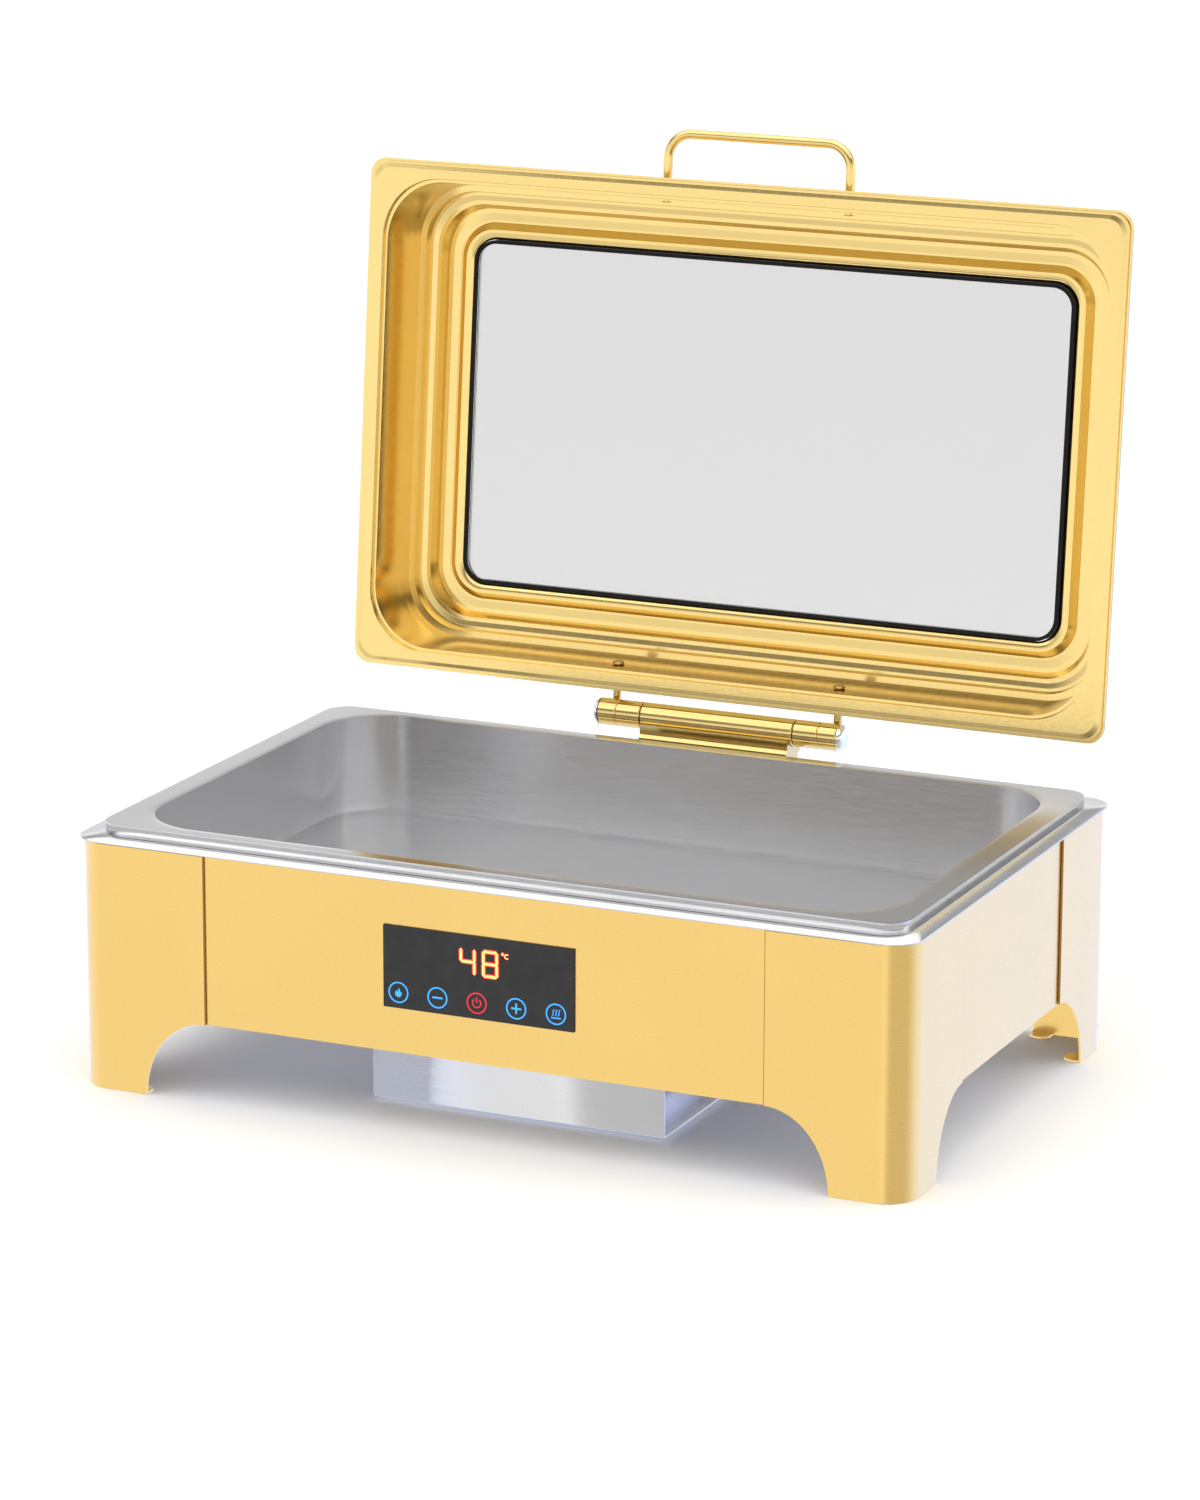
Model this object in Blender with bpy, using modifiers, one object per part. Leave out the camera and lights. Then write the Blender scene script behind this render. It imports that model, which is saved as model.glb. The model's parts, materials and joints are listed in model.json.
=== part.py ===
"""Electric buffet chafer with a hinged, glazed lid, modelled piece by piece.

Metres, +Z up, the control panel faces -Y. The chafer stands on z = 0 with its lid open.
The lid and everything fixed to it is drawn in the closed position, under the empty
"lid_pivot", which lies on the hinge axis and swings the whole group open.
"""

import math

import bmesh
import bpy
from mathutils import Vector

# ---------------------------------------------------------------- driving dimensions
BODY_WIDTH = 0.550
BODY_DEPTH = 0.350
BODY_Y = -0.0475            # middle of the body; the open lid overhangs it at the back
RIM_TOP = 0.1585            # top of the water pan's rim above the table
GAP = 0.0003                # clearance between pieces that touch
CORNER_STEPS = 5            # segments in a quarter turn of a pressed corner

# legs and panels
SHEET = 0.0012
BODY_CORNER = 0.021
FOOT_WIDTH = 0.049
SEAM_INSET = 0.090          # a leg's wing reaches this far from the body's corner
SKIRT_HEIGHT = 0.050
LAP = 0.010                 # a panel runs on behind the leg's wing by this much
HEM = 0.012
TAB_WIDTH = 0.014
TAB_LENGTH = 0.013
ARCH_STEPS = 8

# pans
RIM_SHEET = 0.0015
RIM_OVERHANG = 0.0015
RIM_CORNER = 0.019
WATER_SHEET = 0.0010
WATER_FLOOR = 0.074
FOOD_WIDTH = 0.530          # a full-size gastronorm pan
FOOD_DEPTH = 0.325
FOOD_SHEET = 0.0008
FOOD_TOP = 0.1660
FOOD_FLOOR = 0.1010
OPENING_X = 0.2485          # half the food pan's mouth
OPENING_Y = 0.1525

# lid, closed
LID_WIDTH = 0.5273
LID_DEPTH = 0.3352
LID_SHEET = 0.0010
LID_CORNER = 0.011
MOUTH_CORNER = 0.040        # corner of the opening inside the flange
WINDOW_CORNER = 0.0155
ROLLED_EDGE = 0.0055        # the flange's edge rolls back by this much
WALL_INSET = 0.0125         # the wall starts this far in from the lid's edge
WALL_LEAN = 0.0065          # and leans in by this much
WALL_HEIGHT = 0.0460        # down to its foot, above the flange
TREAD = 0.0075              # width of a step below the wall
CROWN_HEIGHT = 0.0610       # the deepest step, above the flange
FRAME_HEIGHT = 0.0560       # the flat frame sunk round the window
FRAME_WIDTH = 0.0060
FRAME_INSET = 0.0526        # where the frame meets the gasket
LID_REAR = 0.1743           # the closed lid's rear edge, from the middle of the body
LID_SEAT = FOOD_TOP + 0.0004
LID_OPEN_ANGLE = 95.5       # degrees between closed and open
HINGE_Y = 0.1900
HINGE_Z = 0.1746
GLASS_INSET = 0.0549
GLASS_HEIGHT = 0.0565       # underside of the glass above the lid's flange
GLASS_THICKNESS = 0.004

# hinge
BARREL_RADIUS = 0.0090
BARREL_BORE = 0.0066
BARREL_HALF = 0.0535
COLLAR_START = 0.0540
COLLAR_END = 0.0840
COLLAR_GROOVE = 0.0710
AXLE_RADIUS = 0.0030
AXLE_BORE = 0.0033
POST_X = 0.0780
POST_OFFSET = 0.0099        # post's centre line above the hinge axis when closed
POST_RADIUS = 0.0029

# handle
HANDLE_HALF = 0.0635
HANDLE_ROD = 0.0031
HANDLE_BEND = 0.0160
HANDLE_REACH = 0.0273       # grip's centre line in front of the lid's front edge
HANDLE_HEIGHT = 0.0300      # above the lid's flange

# control panel
GLASS_PANEL_WIDTH = 0.126
GLASS_PANEL_HEIGHT = 0.0515
CONTROL_Z = 0.1040

# under cover and heater
COVER_X = 0.003
COVER_HALF_X = 0.0975
COVER_HALF_Y = 0.1265
COVER_BOTTOM = 0.0026
COVER_FLANGE = 0.0120
COVER_SHEET = 0.0010

# power inlet
INLET_X = 0.150
INLET_Z = 0.069

SMOOTH_ANGLE = math.radians(35)

# ---------------------------------------------------------------- derived levels
HALF_W = BODY_WIDTH / 2
HALF_D = BODY_DEPTH / 2
RIM_UNDERSIDE = RIM_TOP - RIM_SHEET
SHELL_TOP = RIM_UNDERSIDE - GAP
PANEL_SETBACK = SHEET + GAP
WATER_UNDERSIDE = WATER_FLOOR - WATER_SHEET
LID_FRONT = LID_REAR - LID_DEPTH
LID_MIDDLE = (LID_REAR + LID_FRONT) / 2


# ---------------------------------------------------------------- scene and materials
def clear_scene():
    for old in list(bpy.data.objects):
        bpy.data.objects.remove(old, do_unlink=True)


def new_collection(name):
    collection = bpy.data.collections.new(name)
    bpy.context.scene.collection.children.link(collection)
    return collection


def make_material(name, colour, roughness, metallic):
    material = bpy.data.materials.new(name)
    material.use_nodes = True
    shader = material.node_tree.nodes["Principled BSDF"]
    shader.inputs["Base Color"].default_value = (*colour, 1.0)
    shader.inputs["Roughness"].default_value = roughness
    shader.inputs["Metallic"].default_value = metallic
    material.diffuse_color = (*colour, 1.0)
    return material


clear_scene()
PARTS = new_collection("roll_top_chafer")
CUTTERS = new_collection("cutters")

MATERIALS = {
    "gold_satin": make_material("gold_satin", (0.93, 0.66, 0.24), 0.32, 1.0),
    "gold_polished": make_material("gold_polished", (0.95, 0.70, 0.28), 0.14, 1.0),
    "steel": make_material("steel", (0.72, 0.72, 0.73), 0.25, 1.0),
    "zinc_steel": make_material("zinc_steel", (0.62, 0.63, 0.64), 0.38, 1.0),
    "glass": make_material("glass", (0.80, 0.83, 0.84), 0.05, 0.0),
    "black_rubber": make_material("black_rubber", (0.015, 0.014, 0.012), 0.60, 0.0),
    "black_glass": make_material("black_glass", (0.030, 0.030, 0.032), 0.12, 0.0),
    "black_plastic": make_material("black_plastic", (0.030, 0.030, 0.032), 0.45, 0.0),
    "circuit_board": make_material("circuit_board", (0.02, 0.16, 0.06), 0.45, 0.0),
    "led_display": make_material("led_display", (0.55, 0.06, 0.03), 0.30, 0.0),
    "aluminium": make_material("aluminium", (0.70, 0.71, 0.72), 0.40, 1.0),
    "ceramic_fibre": make_material("ceramic_fibre", (0.85, 0.83, 0.78), 0.95, 0.0),
    "lead_jacket": make_material("lead_jacket", (0.35, 0.34, 0.33), 0.60, 0.0),
}


# ---------------------------------------------------------------- modelling helpers
def add_object(name, data, material=None, parent=None, cutter=False):
    """Link a mesh or curve into the right collection. Its frame is its parent's."""
    item = bpy.data.objects.new(name, data)
    (CUTTERS if cutter else PARTS).objects.link(item)
    item.parent = parent
    if cutter:
        item.hide_render = True
        item.display_type = "WIRE"
    else:
        data.materials.append(MATERIALS[material])
    return item


def add_empty(name, location, parent=None):
    empty = bpy.data.objects.new(name, None)
    PARTS.objects.link(empty)
    empty.parent = parent
    empty.location = location
    return empty


def finish_mesh(bm, name):
    mesh = bpy.data.meshes.new(name)
    bm.normal_update()
    bm.to_mesh(mesh)
    bm.free()
    mesh.shade_smooth()
    mesh.set_sharp_from_angle(angle=SMOOTH_ANGLE)
    return mesh


def box(name, size, centre, material=None, parent=None, bevel=0.0, cutter=False):
    bm = bmesh.new()
    bmesh.ops.create_cube(bm, size=1.0)
    bmesh.ops.scale(bm, vec=size, verts=bm.verts)
    item = add_object(name, finish_mesh(bm, name), material, parent, cutter)
    item.location = centre
    if bevel:
        add_bevel(item, bevel)
    return item


def rod(name, radius, length, centre, axis, material=None, parent=None, cutter=False, sides=20):
    """A plain round bar, centred on `centre`, along the X, Y or Z axis."""
    bm = bmesh.new()
    bmesh.ops.create_cone(bm, cap_ends=True, segments=sides, radius1=radius, radius2=radius, depth=length)
    item = add_object(name, finish_mesh(bm, name), material, parent, cutter)
    item.location = centre
    item.rotation_euler = {"X": (0, math.pi / 2, 0), "Y": (math.pi / 2, 0, 0), "Z": (0, 0, 0)}[axis]
    return item


def turned(name, profile, centre, axis, material, parent, closed=False, steps=24):
    """A turned piece. The profile is (radius, height), down the outer side first."""
    mesh = bpy.data.meshes.new(name)
    points = [(radius, 0.0, height) for radius, height in profile]
    edges = [(i, i + 1) for i in range(len(points) - 1)]
    if closed:
        edges.append((len(points) - 1, 0))
    mesh.from_pydata(points, edges, [])
    item = add_object(name, mesh, material, parent)
    item.location = centre
    item.rotation_euler = {"X": (0, math.pi / 2, 0), "Y": (math.pi / 2, 0, 0), "Z": (0, 0, 0)}[axis]
    screw = item.modifiers.new("turn", "SCREW")
    screw.axis = "Z"
    screw.steps = steps
    screw.render_steps = steps
    screw.use_merge_vertices = True
    screw.merge_threshold = 0.00001
    screw.use_normal_calculate = False
    screw.use_smooth_shade = True
    return item


def add_bevel(item, width, segments=2):
    bevel = item.modifiers.new("rounded_edges", "BEVEL")
    bevel.width = width
    bevel.segments = segments
    bevel.limit_method = "ANGLE"
    bevel.angle_limit = math.radians(40)


def add_thickness(item, thickness):
    """Thickens an open sheet on the side away from its normals."""
    solidify = item.modifiers.new("sheet_thickness", "SOLIDIFY")
    solidify.thickness = thickness
    solidify.offset = -1.0
    solidify.use_even_offset = True
    solidify.use_quality_normals = True


def combine(item, other, operation):
    boolean = item.modifiers.new(operation.lower() + "_" + other.name, "BOOLEAN")
    boolean.operation = operation
    boolean.object = other
    boolean.solver = "EXACT"


def rounded_ring(half_x, half_y, radius, height, middle_y=0.0):
    """Points of a rectangle with round corners, counter-clockwise from above."""
    signs = ((1, 1), (-1, 1), (-1, -1), (1, -1))
    points = []
    for quadrant, (sign_x, sign_y) in enumerate(signs):
        for step in range(CORNER_STEPS + 1):
            angle = math.pi / 2 * (quadrant + step / CORNER_STEPS)
            x = sign_x * (half_x - radius) + radius * math.cos(angle)
            y = sign_y * (half_y - radius) + radius * math.sin(angle)
            points.append((x, middle_y + y, height))
    return points


def lofted(name, rings, material, parent, floor=False, loop=False, cap_first=False, flip=False):
    """Skins a stack of rings. Rings that go inwards give faces that look up."""
    bm = bmesh.new()
    rows = [[bm.verts.new(point) for point in ring] for ring in rings]
    count = len(rows[0])
    pairs = list(zip(rows, rows[1:]))
    if loop:
        pairs.append((rows[-1], rows[0]))
    for outer, inner in pairs:
        for i in range(count):
            j = (i + 1) % count
            bm.faces.new((outer[i], outer[j], inner[j], inner[i]))
    if floor:
        bm.faces.new(rows[-1])
    if cap_first:
        bm.faces.new(reversed(rows[0]))
    if flip:
        bmesh.ops.reverse_faces(bm, faces=bm.faces)
    return add_object(name, finish_mesh(bm, name), material, parent)


def folded_strip(name, path, start, end, material, parent, thickness):
    """A sheet folded along a (y, z) path and drawn out along X. Normals lie left of the path."""
    bm = bmesh.new()
    near = [bm.verts.new((start, y, z)) for y, z in path]
    edges = [bm.edges.new(pair) for pair in zip(near, near[1:])]
    drawn = bmesh.ops.extrude_edge_only(bm, edges=edges)
    far = [item for item in drawn["geom"] if isinstance(item, bmesh.types.BMVert)]
    bmesh.ops.translate(bm, verts=far, vec=(end - start, 0, 0))
    bmesh.ops.recalc_face_normals(bm, faces=bm.faces)
    begin, bend = Vector((0, *path[0])), Vector((0, *path[1]))
    middle = (begin + bend) / 2 + Vector(((start + end) / 2, 0, 0))
    first = min(bm.faces, key=lambda face: (face.calc_center_median() - middle).length)
    first.normal_update()
    along = bend - begin
    left = Vector((0, -along.z, along.y))
    if first.normal.dot(left) < 0:
        bmesh.ops.reverse_faces(bm, faces=bm.faces)
    item = add_object(name, finish_mesh(bm, name), material, parent)
    add_thickness(item, thickness)
    return item


def extruded_outline(name, outline, half_length, material=None, parent=None, cutter=False):
    """A (y, z) outline drawn out along X to both sides of the middle."""
    bm = bmesh.new()
    face = bm.faces.new([bm.verts.new((-half_length, y, z)) for y, z in outline])
    drawn = bmesh.ops.extrude_face_region(bm, geom=[face])
    far = [item for item in drawn["geom"] if isinstance(item, bmesh.types.BMVert)]
    bmesh.ops.translate(bm, verts=far, vec=(2 * half_length, 0, 0))
    bmesh.ops.recalc_face_normals(bm, faces=bm.faces)
    return add_object(name, finish_mesh(bm, name), material, parent, cutter)


def smooth_route(points, steps=5):
    """Catmull-Rom points through a route, for a lead or a bent rod."""
    ends = [2 * points[0] - points[1], *points, 2 * points[-1] - points[-2]]
    route = []
    for a, b, c, d in zip(ends, ends[1:], ends[2:], ends[3:]):
        for step in range(steps):
            t = step / steps
            route.append(
                0.5 * (2 * b + (c - a) * t + (2 * a - 5 * b + 4 * c - d) * t**2
                       + (3 * b - a - 3 * c + d) * t**3)
            )
    route.append(points[-1])
    return route


def wire(name, points, radius, material, parent, resolution=2, as_mesh=False):
    """A round wire along a list of points, as a bevelled poly curve with closed ends."""
    curve = bpy.data.curves.new(name, "CURVE")
    curve.dimensions = "3D"
    curve.bevel_depth = radius
    curve.bevel_resolution = resolution
    curve.use_fill_caps = True
    spline = curve.splines.new("POLY")
    spline.points.add(len(points) - 1)
    for spline_point, point in zip(spline.points, points):
        spline_point.co = (*point, 1.0)
    item = add_object(name, curve, material, parent)
    return curve_to_mesh(item, material) if as_mesh else item


def curve_to_mesh(item, material):
    """Replaces a curve object by its welded mesh, so that it can be cut or joined."""
    bpy.context.view_layer.update()
    evaluated = item.evaluated_get(bpy.context.evaluated_depsgraph_get())
    mesh = bpy.data.meshes.new_from_object(evaluated)
    bm = bmesh.new()
    bm.from_mesh(mesh)
    bmesh.ops.remove_doubles(bm, verts=bm.verts, dist=0.00001)
    bm.to_mesh(mesh)
    bm.free()
    mesh.materials.clear()
    name, parent = item.name, item.parent
    bpy.data.objects.remove(item, do_unlink=True)
    return add_object(name, mesh, material, parent)


# ---------------------------------------------------------------- body shell
def leg_columns():
    """(x, y, height of the lower edge) along a corner leg's outer face, in the +X +Y corner."""
    seam_x = HALF_W - SEAM_INSET
    seam_y = HALF_D - SEAM_INSET
    arch = SEAM_INSET - FOOT_WIDTH
    turns = [math.pi / 2 * step / ARCH_STEPS for step in range(ARCH_STEPS + 1)]
    columns = [(seam_x + arch * math.sin(t), HALF_D, SKIRT_HEIGHT * math.cos(t)) for t in turns]
    for step in range(CORNER_STEPS + 1):
        angle = math.pi / 2 * (1 - step / CORNER_STEPS)
        x = HALF_W - BODY_CORNER + BODY_CORNER * math.cos(angle)
        y = HALF_D - BODY_CORNER + BODY_CORNER * math.sin(angle)
        columns.append((x, y, 0.0))
    columns += [(HALF_W, seam_y + arch * math.sin(t), SKIRT_HEIGHT * math.cos(t)) for t in reversed(turns)]
    return columns


def foot_tab(name, corner, along, inward, parent):
    """A tab with a round end, folded in from a foot's lower edge to stand on the table."""
    start = SHEET / 2
    round_radius = TAB_WIDTH / 2
    straight = TAB_LENGTH - round_radius
    outline = [(0.0, start), (TAB_WIDTH, start)]
    for step in range(9):
        angle = math.pi * step / 8
        outline.append((round_radius + round_radius * math.cos(angle), straight + round_radius * math.sin(angle)))
    bm = bmesh.new()
    floor = [bm.verts.new((*(corner + along * a + inward * b), 0.0)) for a, b in outline]
    face = bm.faces.new(floor)
    drawn = bmesh.ops.extrude_face_region(bm, geom=[face])
    upper = [item for item in drawn["geom"] if isinstance(item, bmesh.types.BMVert)]
    bmesh.ops.translate(bm, verts=upper, vec=(0, 0, SHEET))
    bmesh.ops.recalc_face_normals(bm, faces=bm.faces)
    return add_object(name, finish_mesh(bm, name), parent=parent, cutter=True)


def make_leg(name, sign_x, sign_y, parent):
    bm = bmesh.new()
    lower = [bm.verts.new((sign_x * x, sign_y * y, z)) for x, y, z in leg_columns()]
    edges = [bm.edges.new(pair) for pair in zip(lower, lower[1:])]
    drawn = bmesh.ops.extrude_edge_only(bm, edges=edges)
    for item in drawn["geom"]:
        if isinstance(item, bmesh.types.BMVert):
            item.co.z = SHELL_TOP
    bmesh.ops.recalc_face_normals(bm, faces=bm.faces)
    outward = Vector((sign_x, sign_y, 0))
    corner = max(bm.faces, key=lambda face: face.calc_center_median().dot(outward))
    corner.normal_update()
    if corner.normal.dot(outward) < 0:
        bmesh.ops.reverse_faces(bm, faces=bm.faces)
    leg = add_object(name, finish_mesh(bm, name), "gold_satin", parent)
    add_thickness(leg, SHEET)
    wide = Vector((sign_x * (HALF_W - FOOT_WIDTH), sign_y * HALF_D))
    deep = Vector((sign_x * HALF_W, sign_y * (HALF_D - FOOT_WIDTH)))
    tabs = (
        foot_tab(name + "_tab_x", wide, Vector((sign_x, 0)), Vector((0, -sign_y)), parent),
        foot_tab(name + "_tab_y", deep, Vector((0, sign_y)), Vector((-sign_x, 0)), parent),
    )
    for tab in tabs:
        combine(leg, tab, "UNION")
    return leg


def make_panel(name, length, distance, turn, parent):
    """A flat panel with a hem along its lower edge, at `distance` from the middle."""
    face_y = -(distance - PANEL_SETBACK)
    path = [(face_y, SHELL_TOP), (face_y, SKIRT_HEIGHT), (face_y + HEM, SKIRT_HEIGHT)]
    panel = folded_strip(name, path[::-1], -length / 2, length / 2, "gold_satin", parent, SHEET)
    panel.rotation_euler = (0, 0, turn)
    return panel


def make_shell(parent):
    for name, sign_x, sign_y in (
        ("leg_front_left", -1, -1),
        ("leg_front_right", 1, -1),
        ("leg_rear_left", -1, 1),
        ("leg_rear_right", 1, 1),
    ):
        make_leg(name, sign_x, sign_y, parent)
    long_side = BODY_WIDTH - 2 * (SEAM_INSET - LAP)
    short_side = BODY_DEPTH - 2 * (SEAM_INSET - LAP)
    front = make_panel("front_panel", long_side, HALF_D, 0, parent)
    rear = make_panel("rear_panel", long_side, HALF_D, math.pi, parent)
    make_panel("right_panel", short_side, HALF_W, math.pi / 2, parent)
    make_panel("left_panel", short_side, HALF_W, -math.pi / 2, parent)
    return front, rear


# ---------------------------------------------------------------- pans
def make_water_pan(parent):
    """Rim, well and floor of the fixed water pan, as its upper surface."""
    mouth_x, mouth_y = 0.2580, 0.1590
    corner = 0.032
    rings = [
        rounded_ring(HALF_W + RIM_OVERHANG, HALF_D + RIM_OVERHANG, RIM_CORNER, RIM_TOP),
        rounded_ring(mouth_x + 0.0020, mouth_y + 0.0020, corner, RIM_TOP),
        rounded_ring(mouth_x, mouth_y, corner, RIM_TOP - 0.0020),
        rounded_ring(mouth_x - 0.0070, mouth_y - 0.0070, 0.030, WATER_FLOOR + 0.0100),
        rounded_ring(mouth_x - 0.0100, mouth_y - 0.0100, 0.028, WATER_FLOOR + 0.0028),
        rounded_ring(mouth_x - 0.0165, mouth_y - 0.0165, 0.024, WATER_FLOOR),
    ]
    pan = lofted("water_pan", rings, "steel", parent, floor=True)
    add_thickness(pan, WATER_SHEET)


def make_food_pan(parent):
    """A full-size gastronorm pan: turned-down lip, flat flange, tapered well."""
    half_x, half_y = FOOD_WIDTH / 2, FOOD_DEPTH / 2
    lip_corner = 0.016
    mouth_corner = 0.045
    rings = [
        rounded_ring(half_x, half_y, lip_corner, RIM_TOP + GAP),
        rounded_ring(half_x, half_y, lip_corner, FOOD_TOP - 0.0042),
        rounded_ring(half_x - 0.0012, half_y - 0.0012, lip_corner, FOOD_TOP - 0.0012),
        rounded_ring(half_x - 0.0042, half_y - 0.0042, lip_corner, FOOD_TOP),
        rounded_ring(OPENING_X + 0.0028, OPENING_Y + 0.0028, mouth_corner, FOOD_TOP),
        rounded_ring(OPENING_X + 0.0008, OPENING_Y + 0.0008, mouth_corner, FOOD_TOP - 0.0009),
        rounded_ring(OPENING_X, OPENING_Y, mouth_corner, FOOD_TOP - 0.0030),
        rounded_ring(OPENING_X - 0.0065, OPENING_Y - 0.0065, 0.043, FOOD_FLOOR + 0.0085),
        rounded_ring(OPENING_X - 0.0085, OPENING_Y - 0.0085, 0.041, FOOD_FLOOR + 0.0028),
        rounded_ring(OPENING_X - 0.0150, OPENING_Y - 0.0150, 0.036, FOOD_FLOOR),
    ]
    pan = lofted("food_pan", rings, "steel", parent, floor=True)
    add_thickness(pan, FOOD_SHEET)


# ---------------------------------------------------------------- lid
def lid_ring(inset, height, radius):
    """A ring of the closed lid, inset from its outer edge and above its flange."""
    half_x = LID_WIDTH / 2 - inset
    half_y = LID_DEPTH / 2 - inset
    return rounded_ring(half_x, half_y, radius, LID_SEAT - HINGE_Z + height, LID_MIDDLE - HINGE_Y)


def lid_profile():
    """(inset, height, corner radius) from the rolled edge over the wall to the window."""
    wall_foot = WALL_INSET + WALL_LEAN
    rows = [
        (0.0, ROLLED_EDGE, LID_CORNER),
        (0.0006, ROLLED_EDGE * 0.5, LID_CORNER),
        (0.0022, ROLLED_EDGE * 0.2, LID_CORNER),
        (ROLLED_EDGE + 0.0005, 0.0, LID_CORNER),
        (WALL_INSET - 0.0020, 0.0, MOUTH_CORNER),
        (WALL_INSET - 0.0007, 0.0010, MOUTH_CORNER),
        (WALL_INSET, 0.0040, MOUTH_CORNER),
        (wall_foot, WALL_HEIGHT, MOUTH_CORNER - 0.002),
    ]
    step_heights = (WALL_HEIGHT + 0.0055, CROWN_HEIGHT - 0.0080, CROWN_HEIGHT - 0.0008, CROWN_HEIGHT)
    step_insets = (0.5, 1.2, 2.0, 2.9)
    for count, height in zip(step_insets, step_heights):
        rows.append((wall_foot + count * TREAD, height, MOUTH_CORNER - 0.003 - 0.004 * count))
    rows.append((FRAME_INSET - FRAME_WIDTH, FRAME_HEIGHT + 0.0005, WINDOW_CORNER + 0.004))
    rows.append((FRAME_INSET, FRAME_HEIGHT, WINDOW_CORNER))
    return rows


def lid_wall_inset(height):
    """How far the inner face of the lid's wall is inset, at a height between its two bends."""
    return WALL_INSET + WALL_LEAN * (height - 0.0040) / (WALL_HEIGHT - 0.0040)


def make_lid_shell(pivot):
    rings = [lid_ring(*row) for row in lid_profile()]
    shell = lofted("lid_shell", rings, "gold_polished", pivot, flip=True)
    add_thickness(shell, LID_SHEET)
    return shell


def make_lid_glazing(pivot):
    corner = 0.0135
    low, high = GLASS_HEIGHT, GLASS_HEIGHT + GLASS_THICKNESS
    glass = lofted(
        "lid_glass",
        [lid_ring(GLASS_INSET, high, corner), lid_ring(GLASS_INSET, low, corner)],
        "glass",
        pivot,
        floor=True,
        cap_first=True,
        flip=True,
    )
    add_bevel(glass, 0.0006, 1)
    outer, lip, groove = 0.0529, 0.0557, 0.0546
    wall = 0.0015
    section = [
        (outer, low - wall),
        (outer, high + wall),
        (lip, high + wall),
        (lip, high + GAP),
        (groove, high + GAP),
        (groove, low - GAP),
        (lip, low - GAP),
        (lip, low - wall),
    ]
    radii = {outer: 0.0155, lip: 0.0125, groove: 0.0138}
    rings = [lid_ring(inset, height, radii[inset]) for inset, height in section]
    lofted("glass_gasket", rings, "black_rubber", pivot, loop=True)


def make_handle(pivot):
    """A bent rod on the lid's front wall, as seen with the lid closed."""
    wall_y = LID_FRONT + lid_wall_inset(HANDLE_HEIGHT) - LID_SHEET
    root_y = wall_y - 2 * GAP - HINGE_Y
    grip_y = LID_FRONT - HANDLE_REACH - HINGE_Y
    z = LID_SEAT - HINGE_Z + HANDLE_HEIGHT
    points = [Vector((-HANDLE_HALF, root_y, z))]
    for side in (-1, 1):
        centre = Vector((side * (HANDLE_HALF - HANDLE_BEND), grip_y + HANDLE_BEND, z))
        for step in range(7):
            turn = math.pi / 2 * (step / 6 if side < 0 else 1 - step / 6)
            offset = Vector((side * math.cos(turn), -math.sin(turn), 0)) * HANDLE_BEND
            points.append(centre + offset)
    points.append(Vector((HANDLE_HALF, root_y, z)))
    return wire("lid_handle", points, HANDLE_ROD, "gold_polished", pivot, resolution=3, as_mesh=True)


def make_pan_head_screw(name, head_face, direction, shank, pivot, radius=0.0015, head=0.0040):
    """A screw along local Y. The head's seat is at head_face; the shank points along direction."""
    head_height = 0.0020
    profile = [
        (0.0, head_height),
        (head * 0.6, head_height),
        (head * 0.92, head_height * 0.6),
        (head, 0.0),
        (radius, 0.0),
        (radius, -shank),
        (0.0, -shank),
    ]
    screw = turned(name, profile, head_face, "Y", "gold_polished", pivot, steps=16)
    screw.rotation_euler = (math.pi / 2 * direction, 0, 0)
    return screw


def drill(item, name, radius, centre, length, axis, parent):
    cutter = rod(name, radius, length, centre, axis, parent=parent, cutter=True, sides=16)
    combine(item, cutter, "DIFFERENCE")


def fasten_lid(shell, handle, pivot):
    """Screws through the lid's walls into the handle's legs, and the holes they pass."""
    hole, shank_radius, shank = 0.0019, 0.0015, 0.0100
    z = LID_SEAT - HINGE_Z + HANDLE_HEIGHT
    inner_y = LID_FRONT + lid_wall_inset(HANDLE_HEIGHT) - HINGE_Y
    for label, side in (("left", -1), ("right", 1)):
        x = side * HANDLE_HALF
        drill(shell, "handle_hole_" + label, hole, (x, inner_y, z), 0.008, "Y", pivot)
        drill(handle, "handle_bore_" + label, hole, (x, inner_y - 0.0060, z), 0.016, "Y", pivot)
        seat = (x, inner_y + 0.0008, z)
        make_pan_head_screw("handle_screw_" + label, seat, -1, shank, pivot, shank_radius)


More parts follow.
